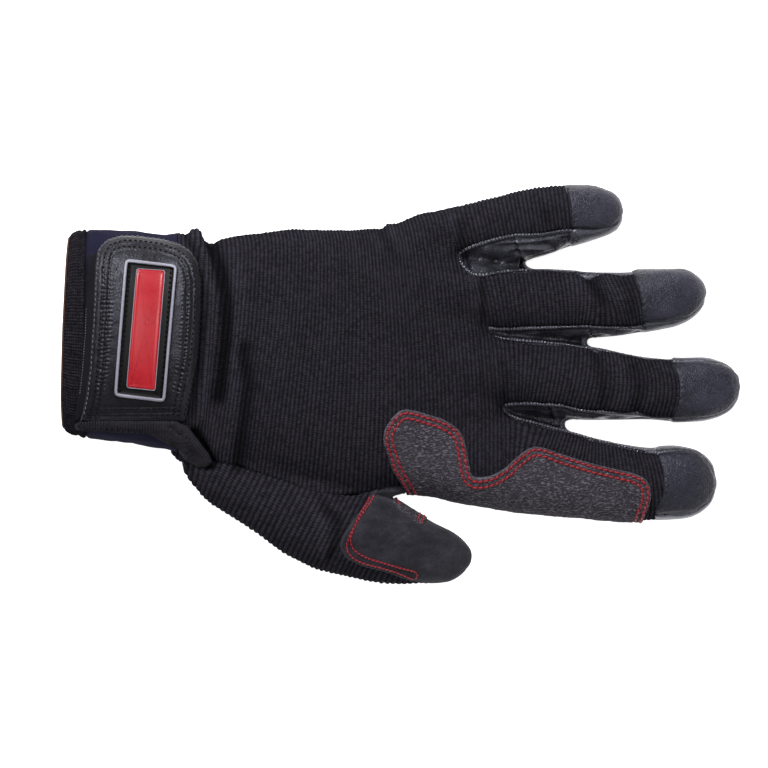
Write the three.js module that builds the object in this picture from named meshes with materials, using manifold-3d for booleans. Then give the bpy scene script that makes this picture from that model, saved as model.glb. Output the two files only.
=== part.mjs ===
// A left-hand climbing glove that lies palm down, fingers along +X, thumb towards -Y, back of the hand up.
// Millimetres. One hollow shell, open at the cuff, is cut along its seams into the sewn panels, and the
// strap, the badge and the wear patch are skins that follow the same sections a little further out.
import * as THREE from 'three';
import { mergeVertices } from 'three/addons/utils/BufferGeometryUtils.js';
import Module from 'manifold-3d';

const wasm = await Module();
wasm.setup();

// Driving sizes
const WALL = 2.0;            // knit or leather with its seam allowance
const SEAM = 0.3;            // open width of every seam between two panels
const PALM_SEAM_Z = 6.0;     // height where the palm leather meets the back panels
const SIDE_TOP_Z = 12.6;     // height where a fourchette meets the knit back of a finger
const CUFF_END_X = -80.5;    // end of the stretch cuff, start of the knit and the palm leather
const BINDING_END_X = -113.6;
const STRAP_THICK = 2.2;
const BAND_THICK = 1.5;
const PATCH_THICK = 1.2;
const BADGE_BASE = 1.6;
const BADGE_RIM = 0.9;
const BADGE_RIM_WIDTH = 1.2;
const FIELD_THICK = 1.0;
const LINING_THICK = 1.0;
const TALL = 60;             // higher than any point of the glove
const SQUARENESS = 2.35;     // exponent of the sections: 2 is an ellipse, more is boxier
const HAND_ARCHES = 15;      // points over the back of a hand section
const SAG = 1.16;            // how far a section would reach below its flat underside
const LOWER_TURNS = [0.14, 0.37, 0.63, 0.86];   // the few points of a section below its widest, in half turns

// Sections across the X axis. low and high are the edges in Y, floor the underside, wide the height of the
// widest point, top the height of the back, lean the slant of the section towards the little finger.
const COLUMNS = ['x', 'low', 'high', 'floor', 'wide', 'top', 'lean'];
const table = (rows) => rows.map((row) => Object.fromEntries(COLUMNS.map((name, i) => [name, row[i] ?? 0])));

const HAND = table([
  [-122.3, -15.8, 53.0, 1.1, 13, 31],
  [-112.2, -19.7, 55.4, 1.1, 13, 33],
  [-97.8, -21.1, 54.7, 0.5, 13, 34],
  [-85.1, -23.3, 53.2, 0, 12, 33],
  [-78.3, -26.2, 55.0, 0, 12, 33],
  [-74.0, -28.3, 55.0, 0, 12, 32],
  [-70.0, -29.8, 51.8, 0, 12, 29.5],
  [-67.2, -30.6, 51.8, 0, 12, 30],
  [-64.2, -31.2, 52.5, 0, 12, 30.5],
  [-60.8, -32.2, 53.2, 0, 12, 30.8],
  [-57.0, -33.2, 53.7, 0, 12, 31],
  [-50.0, -34.9, 54.4, 0, 12, 31],
  [-40.0, -37.0, 55.4, 0, 12, 31.5],
  [-23.8, -39.5, 55.4, 0, 12, 31],
  [-9.4, -40.6, 56.1, 0, 11.5, 30],
  [1.4, -39.1, 58.3, 0, 11, 29, 0.04],
  [12.3, -40.6, 61.2, 0, 10.5, 27, 0.12],
  [19.5, -41.0, 61.9, 0, 10, 24.5, 0.18],
  [23.5, -37.7, 56.8, 2, 9.5, 19, 0.2],
  [24.9, -31.2, 50.0, 5, 9.5, 13, 0.2],
]);

const FINGERS = {
  little: table([
    [-3.0, 49.0, 56.5, 1, 9, 17],
    [7.0, 47.6, 60.4, 0, 9, 20.5],
    [15.9, 46.0, 62.8, 0, 9, 22.5],
    [23.0, 45.6, 64.4, 0, 9, 22.5],
    [32.1, 44.9, 66.6, 0, 9, 22],
    [42.9, 43.8, 69.5, 0, 9, 20.5],
    [52.0, 46.0, 70.9, 0, 8.5, 19.5],
    [61.0, 49.2, 71.6, 0, 8.5, 18],
    [67.5, 51.1, 71.6, 0, 8, 16.5],
    [72.5, 52.9, 70.5, 0.6, 8, 15],
    [76.5, 54.3, 69.1, 1.8, 8, 13],
    [79.0, 56.5, 66.6, 3.6, 7.6, 11],
    [80.3, 59.7, 63.0, 6, 7.5, 9],
  ]),
  ring: table([
    [6.9, 19.3, 46.0, 0, 9, 26],
    [19.5, 18.6, 45.3, 0, 9, 25.5],
    [32.1, 17.0, 43.8, 0, 9, 24],
    [42.9, 17.1, 42.0, 0, 9, 22.5],
    [57.4, 16.8, 41.3, 0, 9, 21],
    [71.8, 16.4, 40.6, 0, 8.5, 20],
    [84.4, 17.9, 40.6, 0, 8.5, 19],
    [95.3, 20.0, 41.3, 0, 8.2, 17.5],
    [101.7, 21.8, 41.0, 0.4, 8, 16],
    [106.1, 24.4, 39.1, 1.6, 8, 14],
    [109.0, 27.2, 36.6, 3.6, 7.6, 11],
    [110.2, 30.1, 33.7, 6, 7.5, 9],
  ]),
  middle: table([
    [6.9, -7.4, 20.7, 0, 9, 27],
    [21.3, -8.5, 20.0, 0, 9, 26.5],
    [35.7, -9.6, 16.2, 0, 9, 25],
    [46.5, -10.6, 15.3, 0, 9, 23.5],
    [61.0, -13.2, 14.6, 0, 9, 22],
    [73.6, -13.5, 12.8, 0, 8.5, 20.5],
    [86.2, -13.2, 9.9, 0, 8.5, 19.5],
    [100.7, -13.9, 9.2, 0, 8.5, 18.5],
    [109.7, -13.5, 9.6, 0, 8.2, 17],
    [115.1, -12.1, 8.5, 0.4, 8, 15.5],
    [119.1, -9.9, 6.3, 1.6, 8, 13.5],
    [121.6, -6.0, 3.1, 3.6, 7.6, 11],
    [122.9, -2.7, -0.2, 6, 7.5, 9],
  ]),
  index: table([
    [-3.0, -34.0, -9.0, 1, 9, 20],
    [7.0, -37.6, -8.2, 0, 9, 23.5],
    [17.7, -41.3, -8.5, 0, 9, 25.2],
    [28.5, -43.1, -9.2, 0, 9, 25],
    [39.3, -44.9, -12.0, 0, 9, 24],
    [52.0, -46.4, -15.3, 0, 9, 22.5],
    [64.6, -47.4, -17.9, 0, 9, 21],
    [75.4, -48.5, -20.7, 0, 8.5, 20],
    [88.0, -49.2, -22.6, 0, 8.5, 19],
    [99.9, -48.9, -22.6, 0, 8.2, 17.5],
    [105.7, -47.8, -23.6, 0.4, 8, 16],
    [110.0, -45.3, -25.8, 1.6, 8, 13.5],
    [112.8, -42.0, -29.0, 3.6, 7.6, 11],
    [114.0, -37.7, -34.1, 6, 7.5, 9],
  ]),
};

const THUMB = table([
  [-79.0, -31.2, -19.7, 0, 11, 18],
  [-70.7, -41.7, -20.4, 0, 11, 20],
  [-63.5, -46.7, -22.6, 0, 11, 22],
  [-52.7, -53.6, -26.2, 0, 11, 24],
  [-41.9, -61.2, -29.8, 0, 11, 25],
  [-31.0, -66.6, -33.4, 0, 11, 25.5],
  [-20.2, -69.5, -37.0, 0, 10.5, 25],
  [-9.4, -71.8, -39.5, 0, 10, 24],
  [-2.2, -72.2, -42.8, 0, 10, 22.5],
  [5.1, -72.2, -47.4, 0, 9.5, 20.5],
  [12.3, -71.3, -51.4, 0.2, 9, 18.5],
  [17.7, -70.2, -53.9, 1, 8.8, 16.5],
  [21.3, -68.0, -56.5, 2.4, 8.4, 14],
  [23.8, -65.1, -59.4, 4.4, 8, 11],
  [24.7, -63.3, -61.2, 6.4, 8, 9.4],
]);

// Creases and ridges of the gathered wrist, on the back only: a path in plan, how far it lifts the
// surface (below zero for a crease) and how far its slopes reach to each side.
const FOLDS = [
  { path: [[-70, 54], [-63.5, 30], [-62.4, 21], [-64.2, 8], [-66, -11], [-68, -26]], lift: -2.6, reach: 3.2 },
  { path: [[-55.9, -3.4], [-58.4, -20.7]], lift: -2, reach: 3.2 },
  { path: [[-74, 55], [-70.5, 20], [-72.5, -14]], lift: 1.6, reach: 2.6 },
];

// Seams and outlines in plan
const THUMB_SEAM = [[-82, -28.3], [-62.8, -29], [-43.3, -35.2], [-29.2, -39.9], [-17, -41], [-9, -39.1],
  [-1.1, -39.9], [4, -44.3], [30, -48]];
const THUMB_CAP_SEAM = [[-9, -39.1], [-16.6, -48.2], [-21.3, -59], [-19.1, -74.5]];
const CROTCH_PATCH = [[-3.2, -39.5], [1, -41.5], [10, -51.4], [6.5, -54.5], [1.1, -50.4], [-4.6, -45.4]];
const CAP_SEAMS = {
  little: [[59.5, 76], [59.5, 53.6], [61.7, 44]],
  ring: [[86.2, 43], [86.2, 15]],
  middle: [[99.2, 12], [101, -2.3], [99.2, -16]],
  index: [[90.5, -20.4], [94.2, -36.3], [90.2, -52]],
};
const SIDE_STRIPS = {
  fourchette_little_ring: [[14, 55], [36, 55.5], [60.2, 60.5], [61.7, 43.6], [86.2, 43.6], [86.2, 29.5], [14, 32]],
  fourchette_ring_middle: [[14, 32], [86.2, 29.5], [86.2, 14], [99.6, 14], [101, -2.3], [14, 4]],
  fourchette_middle_index: [[14, 4], [101, -2.3], [99.6, -18], [92.4, -18], [94.2, -36.3], [14, -25]],
};
const WEAR_PATCH = [[1.4, -39.1], [-3.2, -31.2], [-6.5, -20.7], [-5.8, -16.1], [-3.2, -12.1], [1.1, -9.2],
  [10.5, -11.4], [18.4, -15], [22.7, -19.7], [24.2, -29.4], [26.3, -33.4], [32.1, -34.1], [37.5, -31.2],
  [43.7, -24.7], [47.6, -22.9], [57.4, -25.8], [68.2, -29], [79, -31.6], [86.2, -33], [90.2, -36.3],
  [90.2, -40.2], [85.9, -55], [1.4, -55]];
const STRAP = [[-109.7, 45.6], [-108.6, 49.6], [-105.7, 51.8], [-102.1, 52.9], [-79, 52.5], [-75.4, 51.4],
  [-72.9, 48.9], [-72.2, 45.3], [-73.6, 19.3], [-75.4, -13.6], [-113.2, -13.6]];
const STRAP_BAND = [[-113.2, -13.9], [-90.6, -13.9], [-81.2, -13.9], [-75.4, -13.9], [-74.6, -6], [-71.4, -6.7],
  [-71.4, -10.3], [-74, -14.6], [-78.3, -17.9], [-87, -18.9], [-113.2, -18.2]];
const BADGE = [[-99.2, 44.6], [-80.5, 43.1], [-85.1, -6.3], [-103.2, -4.5]];
const BADGE_FIELD = [[-94.9, 41], [-84.8, 40.2], [-88.8, -2.3], [-98.5, -1.3]];

const PAINT = {
  knit: { color: 0x26242a, roughness: 0.95, metalness: 0 },
  leather: { color: 0x2b2a31, roughness: 0.5, metalness: 0 },
  cap: { color: 0x3f3d47, roughness: 0.42, metalness: 0 },
  suede: { color: 0x35343c, roughness: 0.9, metalness: 0 },
  melange: { color: 0x4a4649, roughness: 0.95, metalness: 0 },
  neoprene: { color: 0x39374a, roughness: 0.85, metalness: 0 },
  binding: { color: 0x1e1c20, roughness: 0.95, metalness: 0 },
  lining: { color: 0x5a4436, roughness: 0.95, metalness: 0 },
  strap: { color: 0x32313a, roughness: 0.55, metalness: 0 },
  band: { color: 0x201e23, roughness: 0.9, metalness: 0 },
  rubber: { color: 0x2a2a31, roughness: 0.35, metalness: 0 },
  field: { color: 0xc02a32, roughness: 0.3, metalness: 0 },
};

// Solids from triangles
const fromTriangles = (vertices, triangles) => {
  const mesh = new wasm.Mesh({
    numProp: 3,
    vertProperties: new Float32Array(vertices.flat()),
    triVerts: new Uint32Array(triangles.flat()),
  });
  return new wasm.Manifold(mesh);
};

const fromGeometry = (geometry) => {
  const plain = geometry.clone();
  for (const name of Object.keys(plain.attributes)) if (name !== 'position') plain.deleteAttribute(name);
  const merged = mergeVertices(plain, 1e-4);
  const mesh = new wasm.Mesh({
    numProp: 3,
    vertProperties: new Float32Array(merged.attributes.position.array),
    triVerts: new Uint32Array(merged.index.array),
  });
  return new wasm.Manifold(mesh);
};

const prism = (outline, bottom = 0, top = TALL) => {
  const shape = new THREE.Shape(outline.map(([x, y]) => new THREE.Vector2(x, y)));
  const geometry = new THREE.ExtrudeGeometry(shape, { depth: top - bottom, bevelEnabled: false });
  geometry.translate(0, 0, bottom);
  return fromGeometry(geometry);
};

const block = (x0, x1, y0, y1, z0, z1) => prism([[x0, y0], [x1, y0], [x1, y1], [x0, y1]], z0, z1);

// A thin upright wall along a path in plan, used as the saw cut of a seam
const seamWall = (path, bottom, top, width = SEAM) => {
  const side = path.map(([x, y], i) => {
    const [ax, ay] = path[Math.max(i - 1, 0)];
    const [bx, by] = path[Math.min(i + 1, path.length - 1)];
    const length = Math.hypot(bx - ax, by - ay);
    return [x, y, -(by - ay) / length * width / 2, (bx - ax) / length * width / 2];
  });
  const left = side.map(([x, y, nx, ny]) => [x + nx, y + ny]);
  const right = side.map(([x, y, nx, ny]) => [x - nx, y - ny]).reverse();
  return prism([...left, ...right], bottom, top);
};

// An outline moved inwards by a distance, for convex outlines
const inset = (outline, distance) => {
  const middle = outline.reduce(([sx, sy], [x, y]) => [sx + x / outline.length, sy + y / outline.length], [0, 0]);
  return outline.map(([x, y], i) => {
    const [px, py] = outline[(i + outline.length - 1) % outline.length];
    const [nx, ny] = outline[(i + 1) % outline.length];
    const before = new THREE.Vector2(x - px, y - py).normalize();
    const after = new THREE.Vector2(nx - x, ny - y).normalize();
    const inward = after.clone().sub(before).normalize();
    if (inward.dot(new THREE.Vector2(middle[0] - x, middle[1] - y)) < 0) inward.negate();
    const sine = Math.abs(inward.x * after.y - inward.y * after.x);
    return [x + inward.x * distance / sine, y + inward.y * distance / sine];
  });
};

// Sections between the rows of a table
const blend = (rows, index, t) => {
  const at = (i) => rows[Math.min(Math.max(i, 0), rows.length - 1)];
  const section = {};
  for (const name of COLUMNS) {
    const [a, b, c, d] = [at(index - 1)[name], at(index)[name], at(index + 1)[name], at(index + 2)[name]];
    const bend = 2 * a - 5 * b + 4 * c - d;
    section[name] = b + 0.5 * t * (c - a + t * (bend + t * (3 * (b - c) + d - a)));
  }
  section.floor = Math.max(section.floor, 0);
  return section;
};

// spacing leaves out sections that lie closer than it to the one before, for the inside of the walls
const sectionsOf = (rows, step, spacing = 0) => {
  const sections = [];
  for (let i = 0; i < rows.length - 1; i += 1) {
    const pieces = Math.max(1, Math.round((rows[i + 1].x - rows[i].x) / step));
    for (let k = 0; k < pieces; k += 1) sections.push(blend(rows, i, k / pieces));
  }
  sections.push({ ...rows[rows.length - 1] });
  let last = -Infinity;
  return sections.filter(({ x }, i) => {
    const kept = x - last >= spacing || i === sections.length - 1;
    if (kept) last = x;
    return kept;
  });
};

const sectionAt = (rows, x) => {
  let i = 0;
  while (i < rows.length - 2 && rows[i + 1].x < x) i += 1;
  const t = Math.min(Math.max((x - rows[i].x) / (rows[i + 1].x - rows[i].x), 0), 1);
  const section = { ...rows[i] };
  for (const name of COLUMNS) section[name] = rows[i][name] * (1 - t) + rows[i + 1][name] * t;
  return section;
};

const distanceTo = (path, x, y) => {
  let nearest = Infinity;
  for (let i = 0; i < path.length - 1; i += 1) {
    const [[ax, ay], [bx, by]] = [path[i], path[i + 1]];
    const [dx, dy] = [bx - ax, by - ay];
    const t = Math.min(Math.max(((x - ax) * dx + (y - ay) * dy) / (dx * dx + dy * dy), 0), 1);
    nearest = Math.min(nearest, Math.hypot(x - ax - t * dx, y - ay - t * dy));
  }
  return nearest;
};

const foldLift = (x, y) => FOLDS.reduce((sum, fold) => {
  const d = distanceTo(fold.path, x, y) / fold.reach;
  return sum + fold.lift * Math.exp(-d * d);
}, 0);

// One closed ring of points round a section, grown outwards by a distance
const ring = (section, grow, arches, folded) => {
  const middle = (section.low + section.high) / 2;
  const half = (section.high - section.low) / 2 + grow;
  const up = section.top - section.wide + grow;
  const floor = section.floor - grow;
  const down = (section.wide - floor) * SAG;
  const bulge = (value) => Math.sign(value) * Math.abs(value) ** (2 / SQUARENESS);
  const turns = [...Array.from({ length: arches + 1 }, (_, j) => j / arches), ...LOWER_TURNS.map((t) => 1 + t)];
  return turns.map((turn) => {
    const y = middle + half * bulge(Math.cos(Math.PI * turn));
    const rise = bulge(Math.sin(Math.PI * turn));
    let z = Math.max(section.wide + rise * (rise > 0 ? up : down), floor);
    if (folded && rise > 0) z += foldLift(section.x, y) * rise;
    return [section.x - section.lean * (y - middle), y, z];
  });
};

// A solid with closed ends through all sections of a table
const loft = (rows, grow, { arches, step, spacing = 0, folded = false, opened = 0 }) => {
  const around = arches + 1 + LOWER_TURNS.length;
  const roomy = (s) => (s.high - s.low) / 2 + grow > 1.2 && s.top - s.wide + grow > 0.8;
  const sections = sectionsOf(rows, step, spacing).filter(roomy);
  const reference = sections[Math.floor(sections.length * 0.6)];
  const widest = reference.high - reference.low;
  const placed = sections.map((s, i) => {
    const narrowing = i > sections.length / 2 ? Math.max(0, 1 - (s.high - s.low) / widest) : 0;
    return { ...s, x: s.x + grow * Math.sqrt(narrowing) - (i === 0 ? opened : 0) };
  });
  const vertices = placed.flatMap((s) => ring(s, grow, arches, folded));
  const triangles = [];
  for (let i = 0; i < placed.length - 1; i += 1) {
    for (let j = 0; j < around; j += 1) {
      const [a, b] = [i * around + j, i * around + (j + 1) % around];
      triangles.push([a, b, b + around], [a, b + around, a + around]);
    }
  }
  const caps = [[0, placed[0], false], [(placed.length - 1) * around, placed[placed.length - 1], true]];
  for (const [start, section, far] of caps) {
    const hub = vertices.push([section.x, (section.low + section.high) / 2, section.wide]) - 1;
    for (let j = 0; j < around; j += 1) {
      const [a, b] = [start + j, start + (j + 1) % around];
      triangles.push(far ? [a, b, hub] : [b, a, hub]);
    }
  }
  return fromTriangles(vertices, triangles);
};

// A tube round the wrist whose wall runs through a closed loop of [x, grow] stations
const sleeve = (loop, arches = HAND_ARCHES) => {
  const around = arches + 1 + LOWER_TURNS.length;
  const vertices = loop.flatMap(([x, grow]) => ring({ ...sectionAt(HAND, x), x }, grow, arches, true));
  const triangles = [];
  for (let i = 0; i < loop.length; i += 1) {
    const next = (i + 1) % loop.length;
    for (let j = 0; j < around; j += 1) {
      const [a, b] = [i * around + j, i * around + (j + 1) % around];
      const [c, d] = [next * around + j, next * around + (j + 1) % around];
      triangles.push([a, b, d], [a, d, c]);
    }
  }
  return fromTriangles(vertices, triangles);
};

const handOf = (grow, opened = 0) => loft(HAND, grow, { arches: grow < 0 ? 12 : HAND_ARCHES, step: 11, folded: true, opened });

const gloveOf = (grow, opened = 0) => {
  const density = grow < 0 ? { arches: 6, step: 18, spacing: 6 } : { arches: 9, step: 18 };
  return [THUMB, ...Object.values(FINGERS)].reduce(
    (body, rows) => body.add(loft(rows, grow, density)), handOf(grow, opened));
};

// The hollow shell and its seams
const shell = gloveOf(0).subtract(gloveOf(-WALL, 6)).subtract(block(-130, CUFF_END_X + SEAM, -90, 90, -1, TALL));
const sideTops = Object.values(SIDE_STRIPS).map((outline) => prism(outline, SIDE_TOP_Z, SIDE_TOP_Z + SEAM));
const capWalls = Object.values(CAP_SEAMS).map((path) => seamWall(path, PALM_SEAM_Z, TALL));
const sideEnds = Object.values(SIDE_STRIPS).map((outline) => seamWall(
  [outline[outline.length - 1], outline[0]], PALM_SEAM_Z, SIDE_TOP_Z));
const saws = [
  block(-130, 130, -90, 90, PALM_SEAM_Z, PALM_SEAM_Z + SEAM),
  seamWall(THUMB_SEAM, PALM_SEAM_Z, TALL),
  seamWall(THUMB_CAP_SEAM, PALM_SEAM_Z, TALL),
  seamWall([...CROTCH_PATCH, CROTCH_PATCH[0]], PALM_SEAM_Z, TALL),
  ...sideTops, ...sideEnds, ...capWalls,
];
const panels = saws.reduce((body, saw) => body.subtract(saw), shell).decompose()
  .map((body) => ({ body, box: body.boundingBox(), volume: body.volume() }))
  .filter(({ volume }) => volume > 20);

// The smallest panel whose box holds a point
const panelAt = (x, y, z) => panels
  .filter(({ box }) => [x, y, z].every((value, axis) => value >= box.min[axis] && value <= box.max[axis]))
  .sort((a, b) => a.volume - b.volume)[0].body;

const strapFloor = SEAM;
const strapTop = strapFloor + STRAP_THICK;
const badgeFloor = strapTop + SEAM;
const badgeTop = badgeFloor + BADGE_BASE;
const fieldFloor = badgeTop + SEAM;
const handSkin = (inner, outer, outline) => handOf(outer).subtract(handOf(inner)).intersect(prism(outline, 12));
const gloveSkin = (inner, outer, outline) => gloveOf(outer).subtract(gloveOf(inner))
  .intersect(prism(outline, PALM_SEAM_Z + SEAM));

const badge = handSkin(badgeFloor, badgeTop, BADGE)
  .add(handSkin(badgeTop - 0.2, badgeTop + BADGE_RIM, BADGE).subtract(prism(inset(BADGE, BADGE_RIM_WIDTH))));

const cuffStations = [-113.3, -112.2, -97.8, -85.1, CUFF_END_X];
const cuffLoop = [...cuffStations.map((x) => [x, 0]), ...cuffStations.slice().reverse().map((x) => [x, -WALL])];
const bindingLoop = [[-122.2, -0.6], [-121.2, 0.6], [-118, 1.1], [BINDING_END_X, 0.9],
  [BINDING_END_X, -2.4], [-118, -2.6], [-121.4, -2.2]];
const liningOuter = [[-121.6, -2.9], [-112.2, -2.9], [-108, -2.3], [-97.8, -2.3], [-85.1, -2.3], [-83, -2.3]];
const liningLoop = [...liningOuter,
  ...liningOuter.slice().reverse().map(([x, grow]) => [x, grow - LINING_THICK])];

const pieces = [
  ['back_knit', panelAt(-20, 10, 29), PAINT.knit],
  ['thumb_knit', panelAt(-40, -50, 24), PAINT.knit],
  ['palm_leather', panelAt(-20, 0, 1), PAINT.leather],
  ['fourchette_little_ring', panelAt(60, 40, 9), PAINT.leather],
  ['fourchette_ring_middle', panelAt(70, 14, 9), PAINT.leather],
  ['fourchette_middle_index', panelAt(70, -20, 9), PAINT.leather],
  ['cap_little', panelAt(70, 62, 14), PAINT.cap],
  ['cap_ring', panelAt(98, 31, 15), PAINT.cap],
  ['cap_middle', panelAt(110, -2, 15), PAINT.cap],
  ['cap_index', panelAt(103, -36, 15), PAINT.cap],
  ['thumb_cap', panelAt(10, -62, 15), PAINT.suede],
  ['thumb_crotch_patch', panelAt(2, -48, 18), PAINT.melange],
  ['index_patch', gloveSkin(SEAM, SEAM + PATCH_THICK, WEAR_PATCH), PAINT.melange],
  ['cuff', sleeve(cuffLoop), PAINT.neoprene],
  ['cuff_binding', sleeve(bindingLoop), PAINT.binding],
  ['cuff_lining', sleeve(liningLoop), PAINT.lining],
  ['wrist_strap', handSkin(strapFloor, strapTop, STRAP), PAINT.strap],
  ['strap_band', handSkin(strapFloor, strapFloor + BAND_THICK, STRAP_BAND), PAINT.band],
  ['badge', badge, PAINT.rubber],
  ['badge_field', handSkin(fieldFloor, fieldFloor + FIELD_THICK, BADGE_FIELD), PAINT.field],
];

const glove = new THREE.Group();
for (const [name, body, paint] of pieces) {
  const largest = body.decompose().sort((a, b) => b.volume() - a.volume())[0];
  const { vertProperties, triVerts } = largest.getMesh();
  const geometry = new THREE.BufferGeometry();
  geometry.setAttribute('position', new THREE.BufferAttribute(new Float32Array(vertProperties), 3));
  geometry.setIndex(new THREE.BufferAttribute(new Uint32Array(triVerts), 1));
  geometry.computeVertexNormals();
  const mesh = new THREE.Mesh(geometry, new THREE.MeshStandardMaterial(paint));
  mesh.name = name;
  glove.add(mesh);
}

export default glove;
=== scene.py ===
import logging
import math
from dataclasses import dataclass, field
from enum import Enum
from functools import partial
from typing import Callable

import bpy
import numpy as np
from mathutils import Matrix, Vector
from mathutils.bvhtree import BVHTree
from mathutils.kdtree import KDTree


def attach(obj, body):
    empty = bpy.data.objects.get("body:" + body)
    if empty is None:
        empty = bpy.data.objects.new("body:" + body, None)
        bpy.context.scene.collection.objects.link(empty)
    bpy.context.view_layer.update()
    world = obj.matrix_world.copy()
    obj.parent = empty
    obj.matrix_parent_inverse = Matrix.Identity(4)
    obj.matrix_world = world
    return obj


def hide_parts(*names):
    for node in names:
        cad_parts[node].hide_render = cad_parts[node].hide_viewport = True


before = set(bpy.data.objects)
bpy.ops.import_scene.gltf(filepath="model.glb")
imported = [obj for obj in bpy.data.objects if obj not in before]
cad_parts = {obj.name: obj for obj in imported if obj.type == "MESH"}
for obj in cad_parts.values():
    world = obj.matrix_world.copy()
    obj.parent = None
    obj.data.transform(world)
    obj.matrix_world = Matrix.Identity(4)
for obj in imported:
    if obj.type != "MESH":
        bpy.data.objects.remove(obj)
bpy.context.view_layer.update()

logging.basicConfig(level=logging.INFO, format="%(message)s")
LOG = logging.getLogger("glove")

MM = 0.001
TINY = 1e-9
Array = np.ndarray
Path = list[tuple[float, float]]
Course = Callable[[Array], Array]
Piece, Material = bpy.types.Object, bpy.types.Material
Node, NodeTree, Socket = bpy.types.Node, bpy.types.NodeTree, bpy.types.NodeSocket


class Side(Enum):
    """Which way a strip's edge is found on the form."""

    TOP = "a point in plan, met from above"
    FLANK = "a height above the table, met from outside"


# ---- numbers and paths


def ease(low: float, high: float, value: Array | float) -> Array:
    """Eases from 0 where a value is low to 1 where it is high."""
    t = np.clip((np.asarray(value, float) - low) / (high - low), 0.0, 1.0)
    return t * t * (3.0 - 2.0 * t)


def bell(value: Array, centre: float, width: float) -> Array:
    """A soft bump: 1 at its centre, gone a few widths away."""
    return np.exp(-((value - centre) / width) ** 2)


def unit(vectors: Array) -> Array:
    """The same directions at length 1."""
    return vectors / np.maximum(np.linalg.norm(vectors, axis=-1, keepdims=True), TINY)


def run_along(path: Array) -> Array:
    """The distance walked along a polyline to each of its points."""
    return np.concatenate([[0.0], np.cumsum(np.linalg.norm(np.diff(path, axis=0), axis=1))])


def take(table: Array, run: Array, at: Array | float) -> Array:
    """Reads a table's columns at places along its run, straight between its rows."""
    return np.stack([np.interp(at, run, column) for column in table.T], -1)


def nearest(stops: Array, points: Array) -> tuple[Array, Array]:
    """For each point the number of the nearest stop and the distance to it."""
    tree = KDTree(len(stops))
    for i, stop in enumerate(stops):
        tree.insert(stop, i)
    tree.balance()
    found = [tree.find(point) for point in points]
    return np.array([f[1] for f in found]), np.array([f[2] for f in found])


def blur(values: Array, sigma: float, axis: int) -> Array:
    """Smooths an array along one axis with a Gaussian, its ends held.

    Args:
        values: the samples.
        sigma: the Gaussian's width in samples.
        axis: the axis to smooth along.

    Returns:
        The smoothed samples.
    """
    reach = max(1, int(3 * sigma))
    kernel = np.exp(-0.5 * (np.arange(-reach, reach + 1) / sigma) ** 2)
    kernel /= kernel.sum()
    moved = np.moveaxis(values, axis, 0)
    flat = moved.reshape(moved.shape[0], -1)
    before = 2 * flat[:1] - flat[reach:0:-1] if len(flat) > reach else np.repeat(flat[:1], reach, 0)
    after = 2 * flat[-1:] - flat[-2:-reach - 2:-1] if len(flat) > reach else np.repeat(flat[-1:], reach, 0)
    padded = np.concatenate([before, flat, after])
    out = sum(weight * padded[i:i + len(flat)] for i, weight in enumerate(kernel))
    return np.moveaxis(out.reshape(moved.shape), 0, axis)


def resample(path: Array, step: float) -> Array:
    """Puts points at even distances along a polyline, its two ends kept."""
    run = run_along(path)
    return take(path, run, np.linspace(0.0, run[-1], max(2, round(run[-1] / step) + 1)))


def rounded(path: Path, step: float = 0.8, turns: int = 3, closed: bool = False) -> Array:
    """Rounds a polyline's corners by averaging evenly spaced points.

    Args:
        path: its corners.
        step: the distance between points.
        turns: how often the points are averaged; more is rounder.
        closed: whether the last corner joins the first.

    Returns:
        The rounded path.
    """
    points = resample(np.array(list(path) + path[:1] if closed else path, float), step)
    points = points[:-1] if closed else points
    for _ in range(turns):
        if closed:
            points = (np.roll(points, 1, 0) + 2 * points + np.roll(points, -1, 0)) / 4
        else:
            points[1:-1] = (points[:-2] + 2 * points[1:-1] + points[2:]) / 4
    return points


def path_distance(points: Array, path: Array) -> Array:
    """The distance in plan from each point to a polyline.

    Args:
        points: the points.
        path: the polyline.

    Returns:
        The distances.
    """
    flat, path = points[:, :2], np.asarray(path, float)[:, :2]
    least = np.full(len(flat), np.inf)
    for a, b in zip(path[:-1], path[1:]):
        ab = b - a
        t = np.clip(((flat - a) @ ab) / max(ab @ ab, 1e-12), 0.0, 1.0)
        gap = flat - a - t[:, None] * ab
        least = np.minimum(least, np.einsum("ij,ij->i", gap, gap))
    return np.sqrt(least)


def outline_depth(points: Array, outline: Array) -> Array:
    """The signed distance in plan to a closed outline, below zero inside it.

    Args:
        points: the points.
        outline: the outline, its first point not repeated.

    Returns:
        The distances.
    """
    outline = np.asarray(outline, float)
    closed = np.vstack([outline, outline[:1]])
    inside = np.zeros(len(points), bool)
    x, y = points[:, 0], points[:, 1]
    for (ax, ay), (bx, by) in zip(closed[:-1], closed[1:]):
        crosses = (ay > y) != (by > y)
        if crosses.any():
            inside ^= crosses & (x < ax + (y - ay) * (bx - ax) / (by - ay if by != ay else 1e-12))
    distance = path_distance(points, closed)
    return np.where(inside, -distance, distance)


def cloud(points: Array, size: float, seed: int) -> Array:
    """Soft lattice noise between -1 and 1, the same in every run.

    Args:
        points: where it is wanted.
        size: the width of one lump.
        seed: which noise.

    Returns:
        The values.
    """
    q = points / size
    base = np.floor(q).astype(np.int64)
    f = q - base
    f = f * f * (3.0 - 2.0 * f)
    total = np.zeros(len(points))
    for corner in range(8):
        step = np.array([corner & 1, (corner >> 1) & 1, (corner >> 2) & 1])
        cell = base + step
        key = (cell[:, 0] * 73856093) ^ (cell[:, 1] * 19349663) ^ (cell[:, 2] * 83492791) ^ (seed * 2654435761)
        key = (key ^ (key >> 13)) * 1274126177 & 0xFFFFFFFF
        weight = np.prod(np.where(step == 1, f, 1.0 - f), axis=1)
        total += weight * (((key >> 8) & 0xFFFF) / 32767.5 - 1.0)
    return total


# ---- meshes


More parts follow.
